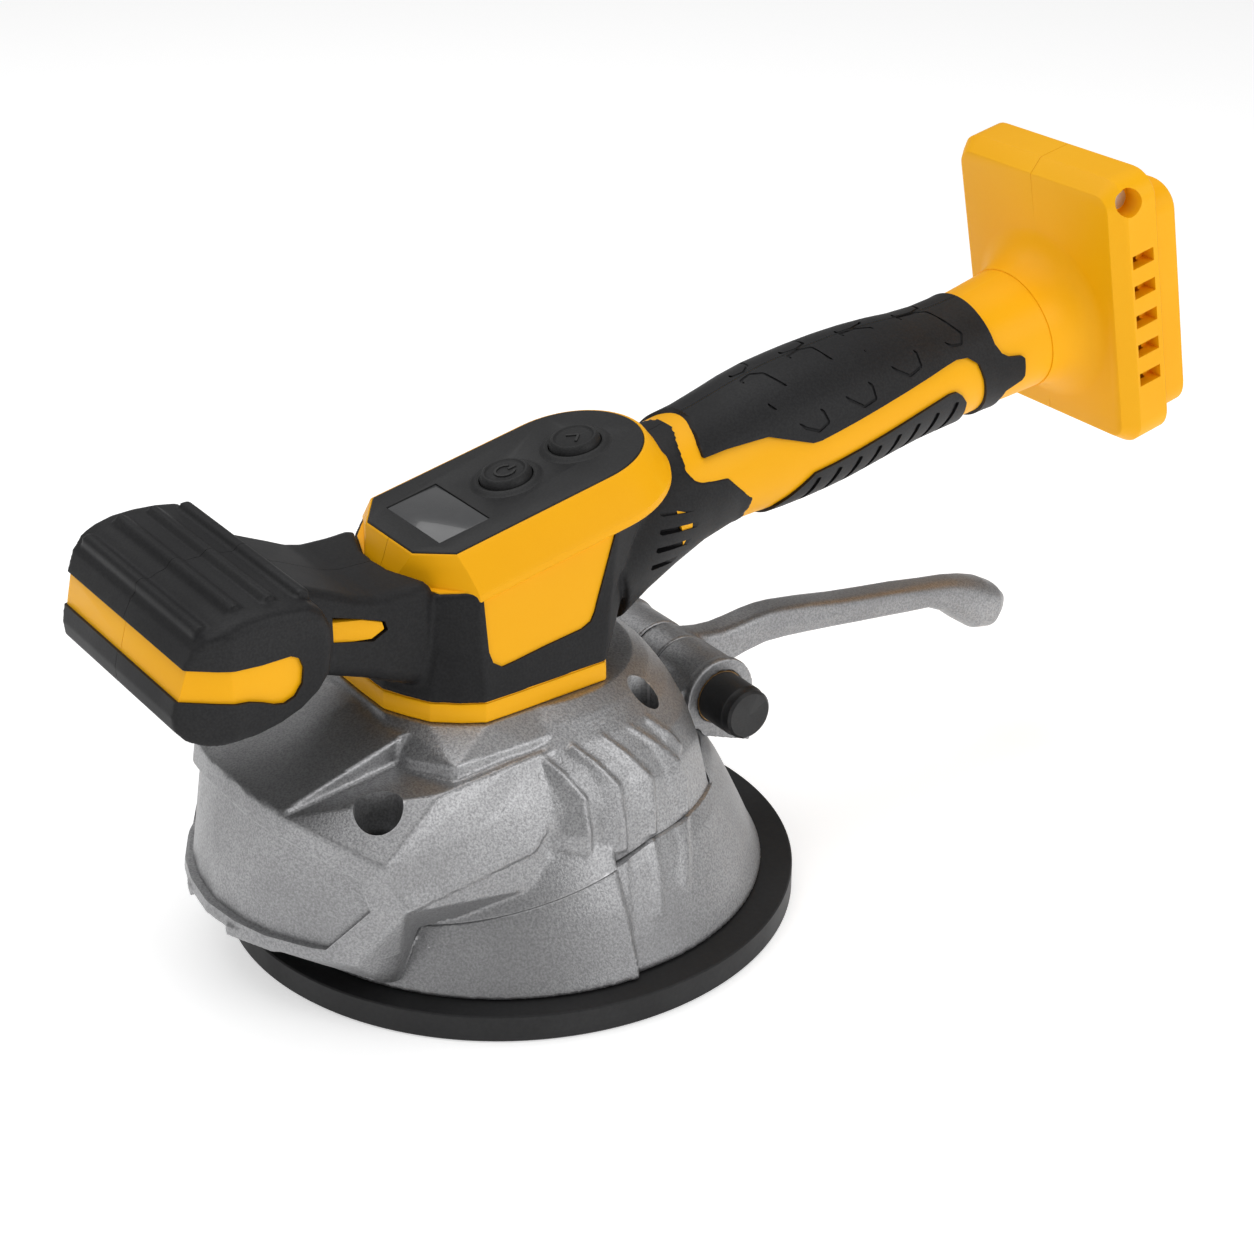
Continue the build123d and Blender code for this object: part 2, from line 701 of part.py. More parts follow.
def terminal_block():
    """Insulator that carries the battery contacts."""
    return mount_block(18, -40, 6, 2, MOUNT_STEP_U - 8, MOUNT_STEP_U - 1)


BLADE_LENGTH = 6.4


def contact_blades():
    """Four contact blades standing out behind the terminal block."""
    blades = []
    for x in (-12, -4, 4, 12):
        centre = tilted(MOUNT_STEP_U - 1 + BLADE_LENGTH / 2, -14, x)
        blades.append(Pos(centre) * Rot(TILT, 0, 0) * Box(0.8, BLADE_LENGTH, 18))
    return blades


def lead_connector():
    """Plug of the battery leads, under the control board."""
    return side_prism([(LEADS_FRONT_U - 8, LEADS_V - 4), (LEADS_FRONT_U, LEADS_V - 4),
                       (LEADS_FRONT_U, BOARD_V - 1.7), (LEADS_FRONT_U - 8, BOARD_V - 1.7)], 7)


def power_leads():
    """Two insulated leads through the handle to the control board."""
    leads = []
    for x in (-3, 3):
        face = section_plane(MOUNT_STEP_U - 8.1) * Pos(x, LEADS_V) * Circle(1.1)
        leads.append(extrude(face, MOUNT_STEP_U - 8.1 - LEADS_FRONT_U))
    return leads


# ---- vibration motor ----------------------------------------------------------------------------
def motor_can():
    """Steel can with one closed end."""
    can = crosswise(MOTOR_R, -MOTOR_HALF_L, MOTOR_HALF_L - 2, MOTOR_Y, MOTOR_Z)
    can -= crosswise(MOTOR_R - 1.5, -MOTOR_HALF_L + 1.5, MOTOR_HALF_L, MOTOR_Y, MOTOR_Z)
    return can - crosswise(4, -50, 0, MOTOR_Y, MOTOR_Z)


def motor_end_cap():
    """Plastic end cap with the brush gear's outline."""
    cap = crosswise(MOTOR_R, MOTOR_HALF_L - 2, MOTOR_HALF_L, MOTOR_Y, MOTOR_Z)
    cap += crosswise(MOTOR_R - 1.6, MOTOR_HALF_L - 5, MOTOR_HALF_L - 2, MOTOR_Y, MOTOR_Z)
    return cap - crosswise(4, 0, 50, MOTOR_Y, MOTOR_Z)


def motor_bearings():
    """A sintered bush in each end of the motor."""
    bushes = []
    for low, high in ((-MOTOR_HALF_L, -MOTOR_HALF_L + 4), (MOTOR_HALF_L - 4, MOTOR_HALF_L)):
        bush = crosswise(4, low, high, MOTOR_Y, MOTOR_Z)
        bushes.append(bush - crosswise(ROTOR_SHAFT_R + RUNNING_FIT, -50, 50, MOTOR_Y, MOTOR_Z))
    return bushes


def motor_magnets():
    """Two arc magnets in the can."""
    ring = crosswise(MOTOR_R - 1.6, -11, 11, MOTOR_Y, MOTOR_Z)
    ring -= crosswise(MOTOR_R - 4.5, -11, 11, MOTOR_Y, MOTOR_Z)
    ring -= Pos(0, MOTOR_Y, MOTOR_Z) * Box(40, 60, 10)
    return ring.solids()


def armature():
    """Slotted, wound rotor."""
    core = crosswise(11, -10.5, 10.5, MOTOR_Y, MOTOR_Z)
    for turn in range(5):
        slot = Pos(0, MOTOR_Y, MOTOR_Z) * Rot(72 * turn, 0, 0) * Pos(0, 0, 10) * Box(30, 2.4, 8)
        core -= slot
    return core - rotor_shaft()


def rotor_shaft():
    """Motor shaft, out at both ends."""
    return crosswise(ROTOR_SHAFT_R, -27.5, 27.5, MOTOR_Y, MOTOR_Z)


def eccentric_weights():
    """Half-round weight on each end of the shaft."""
    weights = []
    for side in SIDES.values():
        low, high = sorted((side * 20, side * 26))
        weight = crosswise(12, low, high, MOTOR_Y, MOTOR_Z)
        weight -= Pos(0, MOTOR_Y, MOTOR_Z + 14) * Box(80, 60, 20)
        weights.append(weight - rotor_shaft())
    return weights


def motor_cradle():
    """Saddle under the motor, screwed to the hood."""
    block = Pos(0, MOTOR_Y, 86.1) * Box(34, 30, 11.4)
    return block - crosswise(MOTOR_R + 0.02, -30, 30, MOTOR_Y, MOTOR_Z)


# ---- write the sub-parts ------------------------------------------------------------------------
def write_halves(name, shape):
    """Write the two mirrored mouldings of one shape, split at the middle plane."""
    for side_name, side in SIDES.items():
        write(f"{name}_{side_name}", largest(shape & half_space(side)))


def main():
    os.makedirs("parts", exist_ok=True)
    write("suction_pad", suction_pad())
    write("pad_plate", pad_plate())
    write("pull_stud", pull_stud())
    write("stud_nuts", *stud_nuts())
    write("lift_bar", lift_bar())
    write("stud_spring", stud_spring())
    write("skirt", skirt())
    write("stud_guide", stud_guide())
    write("hood", hood())
    write("hood_screws", *hood_screws())
    for side_name, side in SIDES.items():
        write(f"pivot_block_{side_name}", pivot_block(side))
    write("pivot_bushes", *pivot_bushes())
    write("lever", lever())
    write("lever_shaft", lever_shaft())
    write("shaft_caps", *shaft_caps())
    write("lifting_pin", lifting_pin())
    write("base_band", base_band())
    write_halves("tower_shell", tower_core() + throat_core())
    write_halves("tower_cover", tower_cover())
    write("control_panel", control_panel())
    write("display_lens", display_lens())
    write("display_module", display_module())
    write("button_collars", *button_collars())
    write("power_button", push_button(BUTTON_PLACES["power_button"], power_mark()))
    write("up_button", push_button(BUTTON_PLACES["up_button"], up_mark()))
    write("key_switches", *key_switches())
    write("circuit_board", circuit_board())
    write("panel_frame", panel_frame())
    write_halves("grip_core", grip_core())
    write_halves("grip_cover", grip_cover())
    cover = handle_skin() & handle_cover_region()
    pad = handle_skin() & handle_pad_region()
    write_halves("handle_cover", cover)
    write_halves("handle_pad", pad)
    write_halves("handle_core", handle_tube() - cover - pad)
    write_halves("battery_mount", mount_shell())
    write("mount_screw", mount_screw())
    write("terminal_block", terminal_block())
    write("contact_blades", *contact_blades())
    write("lead_connector", lead_connector())
    write("power_leads", *power_leads())
    write("motor_can", motor_can())
    write("motor_end_cap", motor_end_cap())
    write("motor_bearings", *motor_bearings())
    write("motor_magnets", *motor_magnets())
    write("armature", armature())
    write("rotor_shaft", rotor_shaft())
    write("eccentric_weights", *eccentric_weights())
    write("motor_cradle", motor_cradle())


main()
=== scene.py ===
import json
import math

import bpy
from mathutils import Matrix, Vector


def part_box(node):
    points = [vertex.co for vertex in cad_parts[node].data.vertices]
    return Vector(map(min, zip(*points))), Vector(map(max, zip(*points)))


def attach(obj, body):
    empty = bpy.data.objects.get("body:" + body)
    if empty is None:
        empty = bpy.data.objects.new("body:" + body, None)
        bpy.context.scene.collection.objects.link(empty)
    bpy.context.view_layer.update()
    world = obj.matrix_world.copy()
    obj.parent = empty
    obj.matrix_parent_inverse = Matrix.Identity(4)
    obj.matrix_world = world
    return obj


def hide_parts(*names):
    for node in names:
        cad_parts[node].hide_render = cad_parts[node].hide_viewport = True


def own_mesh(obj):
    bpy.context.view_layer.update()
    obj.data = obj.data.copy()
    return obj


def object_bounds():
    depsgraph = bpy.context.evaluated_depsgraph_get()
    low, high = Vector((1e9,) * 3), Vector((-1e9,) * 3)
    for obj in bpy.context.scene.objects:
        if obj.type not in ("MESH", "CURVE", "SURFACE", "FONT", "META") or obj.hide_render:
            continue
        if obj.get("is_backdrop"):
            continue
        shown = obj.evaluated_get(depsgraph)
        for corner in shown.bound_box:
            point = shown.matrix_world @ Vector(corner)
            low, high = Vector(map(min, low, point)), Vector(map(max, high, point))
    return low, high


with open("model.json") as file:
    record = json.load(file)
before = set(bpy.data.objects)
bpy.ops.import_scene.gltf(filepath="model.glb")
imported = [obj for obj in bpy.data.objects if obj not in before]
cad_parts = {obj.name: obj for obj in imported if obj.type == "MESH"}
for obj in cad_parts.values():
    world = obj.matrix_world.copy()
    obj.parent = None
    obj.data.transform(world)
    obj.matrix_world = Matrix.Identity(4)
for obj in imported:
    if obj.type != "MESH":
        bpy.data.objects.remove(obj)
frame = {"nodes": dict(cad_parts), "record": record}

cad_low, cad_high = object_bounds()


# Many outline points below aren't worked out from the frame. A scratch script read them off the photo through the
# fitted camera: BEHIND, SLOTS, UPPER_COVER, LOWER_PAD, PADS, FACET and SKIRT_RIBS hold points that it printed,
# unchanged or slightly moved. This is a known fault.
# ---- camera and studio ----------------------------------------------------------------------------
# A pale floor and backdrop under a wide overhead softbox, with a fill from each side.
# The camera looks down on the tool from its left front, a long lens a good arm's length away.
MM = 0.001
CAMERA_PLACE = (0.57876, -0.35789, 0.43088)
CAMERA_AZIMUTH = math.radians(55.18)
CAMERA_ELEVATION = math.radians(26.82)
LENS = 73.35

lens_data = bpy.data.cameras.new("camera")
lens_data.lens = LENS
lens_data.sensor_width = 36.0
camera = bpy.data.objects.new("camera", lens_data)
bpy.context.scene.collection.objects.link(camera)
camera.location = CAMERA_PLACE
towards_camera = Vector((math.sin(CAMERA_AZIMUTH) * math.cos(CAMERA_ELEVATION),
                         -math.cos(CAMERA_AZIMUTH) * math.cos(CAMERA_ELEVATION),
                         math.sin(CAMERA_ELEVATION)))
camera.rotation_euler = (-towards_camera).to_track_quat("-Z", "Y").to_euler()
bpy.context.scene.camera = camera
bpy.context.scene.view_settings.view_transform = "Standard"

bpy.ops.object.select_all(action="DESELECT")
bpy.ops.mesh.primitive_plane_add(size=30.0, location=(0, 0.05, 0))
floor = bpy.context.object
floor.name = "studio_floor"
paper = bpy.data.materials.new("studio_paper")
paper.use_nodes = True
paper.node_tree.nodes["Principled BSDF"].inputs["Base Color"].default_value = (0.86, 0.86, 0.86, 1)
paper.node_tree.nodes["Principled BSDF"].inputs["Roughness"].default_value = 0.85
paper.node_tree.nodes["Principled BSDF"].inputs["Emission Color"].default_value = (1, 1, 1, 1)
paper.node_tree.nodes["Principled BSDF"].inputs["Emission Strength"].default_value = 0.5
floor.data.materials.append(paper)
floor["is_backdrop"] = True

SOFTBOXES = (
    # name, place, aim, width, height, power
    ("overhead_softbox", (-0.25, -0.1, 1.15), (0.0, 0.06, 0.06), 1.3, 1.3, 8.0),
    ("right_softbox", (1.2, 0.55, 0.75), (0.0, 0.06, 0.08), 0.9, 0.9, 6.5),
    ("front_softbox", (0.45, -1.3, 0.7), (0.0, 0.0, 0.08), 1.1, 0.8, 1.8),
)
for name, place, aim, width, height, power in SOFTBOXES:
    lamp_data = bpy.data.lights.new(name, "AREA")
    lamp_data.shape = "RECTANGLE"
    lamp_data.size = width
    lamp_data.size_y = height
    lamp_data.energy = power
    lamp = bpy.data.objects.new(name, lamp_data)
    bpy.context.scene.collection.objects.link(lamp)
    lamp.location = place
    lamp.rotation_euler = (Vector(aim) - Vector(place)).to_track_quat("-Z", "Y").to_euler()
world = bpy.data.worlds.new("studio_room")
world.use_nodes = True
ROOM_LIGHT = 0.3
BACKDROP = 0.92
room = world.node_tree.nodes["Background"]
room.inputs["Color"].default_value = (1.0, 1.0, 1.0, 1)
room.inputs["Strength"].default_value = ROOM_LIGHT
backdrop = world.node_tree.nodes.new("ShaderNodeBackground")
backdrop.inputs["Color"].default_value = (BACKDROP, BACKDROP, BACKDROP, 1)
seen = world.node_tree.nodes.new("ShaderNodeLightPath")
either = world.node_tree.nodes.new("ShaderNodeMixShader")
world.node_tree.links.new(seen.outputs["Is Camera Ray"], either.inputs[0])
world.node_tree.links.new(room.outputs[0], either.inputs[1])
world.node_tree.links.new(backdrop.outputs[0], either.inputs[2])
world.node_tree.links.new(either.outputs[0], world.node_tree.nodes["World Output"].inputs["Surface"])
bpy.context.scene.world = world


# ---- suction pad ----------------------------------------------------------------------------------
# Black moulded rubber disc with a pocket for the steel plate and a sealing groove underneath.
# Its upper edge is crisp.
PAD_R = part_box("suction_pad")[1].x / MM
PAD_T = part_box("suction_pad")[1].z / MM


def at(x, y, z):
    """A place in upright millimetres."""
    return Vector((x, y, z)) * MM


def only(piece):
    """Leaves one piece selected and active."""
    bpy.ops.object.select_all(action="DESELECT")
    piece.select_set(True)
    bpy.context.view_layer.objects.active = piece


def choose(piece, wanted):
    """Selects the vertices that pass a test, and nothing else of the mesh."""
    mesh = piece.data
    mesh.polygons.foreach_set("select", [False] * len(mesh.polygons))
    mesh.edges.foreach_set("select", [False] * len(mesh.edges))
    mesh.vertices.foreach_set("select", [wanted(v) for v in mesh.vertices])


def ring_stack(rings, capped=True):
    """A body skinned through rings of equally many points, by extruding a circle again and again."""
    count = len(rings[0])
    bpy.ops.object.select_all(action="DESELECT")
    bpy.ops.mesh.primitive_circle_add(vertices=count, radius=PAD_R * MM)
    body = bpy.context.object
    bpy.ops.object.mode_set(mode="EDIT")
    bpy.ops.mesh.select_all(action="SELECT")
    for step in range(len(rings) - 1):
        bpy.ops.mesh.extrude_region_move(TRANSFORM_OT_translate={"value": (0, 0, MM)})
    bpy.ops.object.mode_set(mode="OBJECT")
    body.data.vertices.foreach_set("co", [c for ring in rings for point in ring for c in point])
    if capped:
        last = count * (len(rings) - 1)
        for wanted in (lambda v: v.index < count, lambda v: v.index >= last):
            choose(body, wanted)
            bpy.ops.object.mode_set(mode="EDIT")
            bpy.ops.mesh.edge_face_add()
            bpy.ops.object.mode_set(mode="OBJECT")
    tidy(body)
    return body


def tidy(piece):
    """Merges doubled points and turns every face outwards."""
    only(piece)
    bpy.ops.object.mode_set(mode="EDIT")
    bpy.ops.mesh.select_all(action="SELECT")
    bpy.ops.mesh.remove_doubles(threshold=0.002 * MM)
    bpy.ops.mesh.normals_make_consistent(inside=False)
    bpy.ops.object.mode_set(mode="OBJECT")


def turned(profile, segments=96, place=at, closed=False):
    """A turned body from a profile of radius and height, on the axis of the given frame."""
    rings = []
    for radius, height in list(profile) + ([profile[0]] if closed else []):
        ring = []
        for step in range(segments):
            turn = 2 * math.pi * step / segments
            ring.append(place(radius * math.cos(turn), radius * math.sin(turn), height))
        rings.append(ring)
    return ring_stack(rings, capped=not closed)


def run(piece, kind, **settings):
    """Adds one modifier to a piece and applies it."""
    only(piece)
    modifier = piece.modifiers.new(kind.lower(), kind)
    for setting, value in settings.items():
        setattr(modifier, setting, value)
    bpy.ops.object.modifier_apply(modifier=modifier.name)


def soften(piece, width, segments=2, angle=30):
    """Rounds the edges of a piece."""
    run(piece, "BEVEL", width=width * MM, segments=segments, limit_method="ANGLE",
        angle_limit=math.radians(angle), use_clamp_overlap=True)


def finish(piece, name, material, body="root", nodes=(), smooth=35):
    """Names a piece, gives it its material, its body and the CAD nodes that it stands for."""
    only(piece)
    bpy.ops.object.shade_smooth_by_angle(angle=math.radians(smooth))
    piece.name = name
    piece.data.name = name
    piece.data.materials.clear()
    piece.data.materials.append(material)
    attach(piece, body)
    if nodes:
        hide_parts(*nodes)


def new_material(name, colour, roughness, metallic=0.0):
    """A Principled material with its plain values set, and its nodes ready to be joined."""
    material = bpy.data.materials.new(name)
    material.use_nodes = True
    shader = material.node_tree.nodes["Principled BSDF"]
    shader.inputs["Base Color"].default_value = (*colour, 1)
    shader.inputs["Roughness"].default_value = roughness
    shader.inputs["Metallic"].default_value = metallic
    return material


def make_surface_group():
    """Node group: grain, soft mottling and a painted edge highlight of a moulded or cast surface."""
    group = bpy.data.node_groups.new("surface_finish", "ShaderNodeTree")
    for label, kind, default in (
        ("Colour", "NodeSocketColor", (0.5, 0.5, 0.5, 1)), ("Fleck And Highlight Colour", "NodeSocketColor", (0.6, 0.6, 0.6, 1)),
        ("Dark Colour", "NodeSocketColor", (0.4, 0.4, 0.4, 1)), ("Roughness", "NodeSocketFloat", 0.5),
        ("Grain Scale", "NodeSocketFloat", 900.0), ("Grain Mix", "NodeSocketFloat", 0.2),
        ("Edge Highlight", "NodeSocketFloat", 0.3), ("Mottle Scale", "NodeSocketFloat", 40.0),
        ("Roughness Swing", "NodeSocketFloat", 0.1),
    ):
        socket = group.interface.new_socket(name=label, in_out="INPUT", socket_type=kind)
        socket.default_value = default
    for label, kind in (("Colour", "NodeSocketColor"), ("Roughness", "NodeSocketFloat"),
                        ("Height", "NodeSocketFloat")):
        group.interface.new_socket(name=label, in_out="OUTPUT", socket_type=kind)
    nodes, links = group.nodes, group.links
    given = nodes.new("NodeGroupInput")
    result = nodes.new("NodeGroupOutput")
    place = nodes.new("ShaderNodeTexCoord")
    grain = nodes.new("ShaderNodeTexNoise")
    grain.inputs["Detail"].default_value = 3.0
    grain.inputs["Roughness"].default_value = 0.6
    mottle = nodes.new("ShaderNodeTexNoise")
    mottle.inputs["Detail"].default_value = 4.0
    links.new(place.outputs["Object"], grain.inputs["Vector"])
    links.new(place.outputs["Object"], mottle.inputs["Vector"])
    links.new(given.outputs["Grain Scale"], grain.inputs["Scale"])
    links.new(given.outputs["Mottle Scale"], mottle.inputs["Scale"])
    contrast = nodes.new("ShaderNodeMapRange")
    contrast.inputs["From Min"].default_value = 0.36
    contrast.inputs["From Max"].default_value = 0.64
    links.new(grain.outputs["Fac"], contrast.inputs["Value"])
    mottled = nodes.new("ShaderNodeMapRange")
    mottled.inputs["From Min"].default_value = 0.3
    mottled.inputs["From Max"].default_value = 0.7
    links.new(mottle.outputs["Fac"], mottled.inputs["Value"])
    amount = nodes.new("ShaderNodeMath")
    amount.operation = "MULTIPLY"
    links.new(contrast.outputs["Result"], amount.inputs[0])
    links.new(given.outputs["Grain Mix"], amount.inputs[1])
    speckled = nodes.new("ShaderNodeMix")
    speckled.data_type = "RGBA"
    links.new(amount.outputs[0], speckled.inputs["Factor"])
    links.new(given.outputs["Colour"], speckled.inputs["A"])
    links.new(given.outputs["Fleck And Highlight Colour"], speckled.inputs["B"])
    half = nodes.new("ShaderNodeMath")
    half.operation = "MULTIPLY"
    half.inputs[1].default_value = 0.5
    links.new(mottled.outputs["Result"], half.inputs[0])
    shaded = nodes.new("ShaderNodeMix")
    shaded.data_type = "RGBA"
    links.new(half.outputs[0], shaded.inputs["Factor"])
    links.new(speckled.outputs["Result"], shaded.inputs["A"])
    links.new(given.outputs["Dark Colour"], shaded.inputs["B"])
    # Painted highlight: edges found by pointiness are lightened towards the fleck colour, standing in for light caught
    # on edges.
    shape = nodes.new("ShaderNodeNewGeometry")
    edge = nodes.new("ShaderNodeMapRange")
    edge.inputs["From Min"].default_value = 0.52
    edge.inputs["From Max"].default_value = 0.62
    links.new(shape.outputs["Pointiness"], edge.inputs["Value"])
    highlight_and_fleck = nodes.new("ShaderNodeMath")
    highlight_and_fleck.operation = "MULTIPLY"
    links.new(edge.outputs["Result"], highlight_and_fleck.inputs[0])
    links.new(given.outputs["Edge Highlight"], highlight_and_fleck.inputs[1])
    highlighted = nodes.new("ShaderNodeMix")
    highlighted.data_type = "RGBA"
    links.new(highlight_and_fleck.outputs[0], highlighted.inputs["Factor"])
    links.new(shaded.outputs["Result"], highlighted.inputs["A"])
    links.new(given.outputs["Fleck And Highlight Colour"], highlighted.inputs["B"])
    links.new(highlighted.outputs["Result"], result.inputs["Colour"])
    swing = nodes.new("ShaderNodeMath")
    swing.operation = "MULTIPLY_ADD"
    links.new(mottled.outputs["Result"], swing.inputs[0])
    links.new(given.outputs["Roughness Swing"], swing.inputs[1])
    links.new(given.outputs["Roughness"], swing.inputs[2])
    links.new(swing.outputs[0], result.inputs["Roughness"])
    links.new(grain.outputs["Fac"], result.inputs["Height"])
    return group


surface_group = make_surface_group()


def finish_material(name, colour, highlight_and_fleck, dark, roughness, metallic=0.0, grain_scale=900.0, grain_mix=0.2,
                    edge_highlight=0.3, mottle_scale=40.0, swing=0.1, bump=0.2, bump_distance=0.05,
                    specular=0.5):
    """A material with the shared surface finish in it, its edges lightened as a painted highlight, and a bump from its
    grain.
    """
    material = new_material(name, colour, roughness, metallic)
    tree = material.node_tree
    shader = tree.nodes["Principled BSDF"]
    shader.inputs["Specular IOR Level"].default_value = specular
    group = tree.nodes.new("ShaderNodeGroup")
    group.node_tree = surface_group
    for label, value in (("Colour", (*colour, 1)), ("Fleck And Highlight Colour", (*highlight_and_fleck, 1)), ("Dark Colour", (*dark, 1)),
                         ("Roughness", roughness), ("Grain Scale", grain_scale), ("Grain Mix", grain_mix),
                         ("Edge Highlight", edge_highlight), ("Mottle Scale", mottle_scale), ("Roughness Swing", swing)):
        group.inputs[label].default_value = value
    tree.links.new(group.outputs["Colour"], shader.inputs["Base Color"])
    tree.links.new(group.outputs["Roughness"], shader.inputs["Roughness"])
    relief = tree.nodes.new("ShaderNodeBump")
    relief.inputs["Strength"].default_value = bump
    relief.inputs["Distance"].default_value = bump_distance * MM
    tree.links.new(group.outputs["Height"], relief.inputs["Height"])
    tree.links.new(relief.outputs["Normal"], shader.inputs["Normal"])
    return material


pad_rubber = finish_material("pad_rubber", (0.010, 0.010, 0.011), (0.035, 0.035, 0.036), (0.006, 0.006, 0.006),
                             0.46, grain_scale=700, grain_mix=0.25, edge_highlight=0.35, swing=0.15, bump=0.35,
                             specular=0.3)
pad = turned([(1, 0), (70, 0), (70, 1.5), (74, 1.5), (74, 0), (PAD_R - 0.8, 0), (PAD_R, 0.8),
              (PAD_R, PAD_T - 0.4), (PAD_R - 0.4, PAD_T), (41, PAD_T), (41, 4.85), (1, 4.85)], 192)
finish(pad, "suction_pad_rubber", pad_rubber, nodes=["suction_pad"])


# ---- lower casting --------------------------------------------------------------------------------
# Shot-blasted aluminium bell that presses the pad down, with a deck and a boss for the pull stud.
# The front panel stands proud of the rear cone, and raised ribs run on from the upper casting.
REAR_CONE = [(78.4, 9.1), (78.2, 10.5), (76.4, 14), (73, 22), (69.9, 29), (66.4, 36.5), (62.6, 43), (58.9, 48)]
FRONT_STEP = 2.4                # how far the front panel stands proud at the bottom
SEAM_LEVEL = 39.5               # height of the joint with the upper casting at the middle
SEAM_SLOPE = 0.206
SEAM_TOP = 41.5
SCREWS = ((40.0, -67.0), (38.0, 24.0))
PIVOT = (61.0, 57.0)            # lever pivot: y and z


def hull(points, place=at, both=False):
    """A closed body drawn tight round a few corner points, on both sides if asked."""
    corners = [place(*p) for p in points]
    if both:
        corners += [Vector((-c.x, c.y, c.z)) for c in corners if abs(c.x) > 0.01 * MM]
    bpy.ops.object.select_all(action="DESELECT")
    bpy.ops.mesh.primitive_circle_add(vertices=max(3, len(corners)), radius=MM)
    body = bpy.context.object
    body.data.vertices.foreach_set("co", [c for corner in corners for c in corner])
    bpy.ops.object.mode_set(mode="EDIT")
    bpy.ops.mesh.select_all(action="SELECT")
    bpy.ops.mesh.convex_hull(join_triangles=False)
    bpy.ops.mesh.select_all(action="SELECT")
    bpy.ops.mesh.normals_make_consistent(inside=False)
    bpy.ops.object.mode_set(mode="OBJECT")
    return body


def gather(pieces):
    """Puts several bodies in one mesh, that of the first."""
    only(pieces[0])
    for other in pieces[1:]:
        other.select_set(True)
    bpy.ops.object.join()
    return pieces[0]


def combine(piece, tools, operation):
    """Joins, cuts or keeps the common part of a piece and some tools, which are used up."""
    tool = gather(tools) if len(tools) > 1 else tools[0]
    run(piece, "BOOLEAN", operation=operation, solver="EXACT", use_self=len(tools) > 1, object=tool)
    bpy.data.objects.remove(tool, do_unlink=True)
    return piece


def drill(radius, start, end, segments=48):
    """A round bar between two places in millimetres, as a tool or a boss."""
    start, end = Vector(start), Vector(end)
    turn = (end - start).to_track_quat("Z", "Y").to_matrix()

    def place(x, y, z):
        return (start + turn @ Vector((x, y, z))) * MM
    return turned([(radius, 0), (radius, (end - start).length)], segments, place)


def turn_over(piece):
    """Moves a body to the other side of the middle plane."""
    piece.data.transform(Matrix.Diagonal((-1, 1, 1, 1)))
    tidy(piece)


def mirror_tool(piece):
    """The same body on the other side of the middle plane."""
    only(piece)
    bpy.ops.object.duplicate()
    other = bpy.context.object
    turn_over(other)
    return other


def cast(piece, voxel=1.0, rounds=5, factor=0.5):
    """Rebuilds a body as one skin with the rounded edges of a casting or moulding."""
    run(piece, "REMESH", mode="VOXEL", voxel_size=voxel * MM, adaptivity=0.0)
    run(piece, "SMOOTH", factor=factor, iterations=rounds)


def fuse(pieces, voxel=0.9, rounds=0):
    """Melts overlapping bodies into one clean skin, and rounds its edges a little."""
    body = gather(pieces)
    run(body, "REMESH", mode="VOXEL", voxel_size=voxel * MM, adaptivity=0.0)
    if rounds:
        run(body, "SMOOTH", factor=0.5, iterations=rounds)
    return body


def rib_wedges(line, width=7.0, height=1.3, depth=4.0):
    """Raised ribs along a line on the casting: a gentle rise on the front, a sharp drop behind."""
    wedges = []
    for first, second in zip(line, line[1:]):
        corners = []
        for end in (first, second):
            end = Vector(end)
            out = Vector((end.x, end.y, 0)).normalized()
            out = (out + Vector((0, 0, 0.45))).normalized()
            along = (Vector(second) - Vector(first)).normalized()
            back = along.cross(out)
            back = back if back.y > 0 else -back
            corners += [end + out * height, end - back * width - out * 0.3, end + back * 1.2 - out * 0.3,
                        end - back * width - out * depth, end + back * 1.2 - out * depth]
        wedges.append(hull([tuple(c) for c in corners]))
    return wedges


# Its strong edge lightening is a painted highlight; its light flecks are the shot-blasted grain.
cast_alloy = finish_material("cast_alloy", (0.27, 0.27, 0.275), (0.66, 0.66, 0.67), (0.20, 0.20, 0.205), 0.36,
                             metallic=0.8, grain_scale=1500, grain_mix=0.5, edge_highlight=0.8, mottle_scale=22,
                             swing=0.12, bump=0.8, bump_distance=0.14)

inner = [(radius - 4.0, height) for radius, height in REAR_CONE if height <= 36.5]
bell = turned([(7.05, 46), (12, 46), (12, 44), (50, 44), (50, 48)] + REAR_CONE[::-1]
              + [(74.4, 9.1)] + inner[1:] + [(60.8, 40), (12, 40), (12, 24), (7.05, 24)], 160, closed=True)
front_panel = turned([(r + FRONT_STEP * min(1, max(0, (52 - z) / 22)), z) for r, z in REAR_CONE]
                     + [(58, 48), (60.8, 40)] + inner[::-1] + [(74.4, 9.1)], 160, closed=True)
front_sector = hull([(0, 0, 0), (120, -9.5, 0), (120, -120, 0), (0, 0, 60), (120, -9.5, 60), (120, -120, 60)],
                    both=True)
combine(front_panel, [front_sector], "INTERSECT")
SKIRT_RIBS = (
    [(63.8, -12.2, 39), (69.3, -12.0, 28.6), (74.5, -11.6, 17.5)],
    [(63.9, -0.5, 40.7), (70.5, -3.7, 27.1), (75.8, -6.8, 14.5)],
    [(62.4, 10.5, 41.5), (68.3, 9.1, 30.5), (72.9, 6.2, 21.5)],
    [(57.8, 25.5, 42.2), (64.3, 21.7, 33.1), (69.4, 17.7, 25.0)],
)
wedges = [wedge for line in SKIRT_RIBS for wedge in rib_wedges(line, width=6.0, height=0.9)]
bell = fuse([bell, front_panel] + wedges + [mirror_tool(wedge) for wedge in wedges], 0.9, 1)
scoop = hull([(74.5, -23, 19.5), (71.5, -38, 11.5), (78, -31, 8.0), (86, -14, 8.0), (82, -13, 13.5),
              (90, -40, 8.0), (84, -24, 18)])
for tool in (mirror_tool(scoop), scoop):
    combine(bell, [tool], "DIFFERENCE")


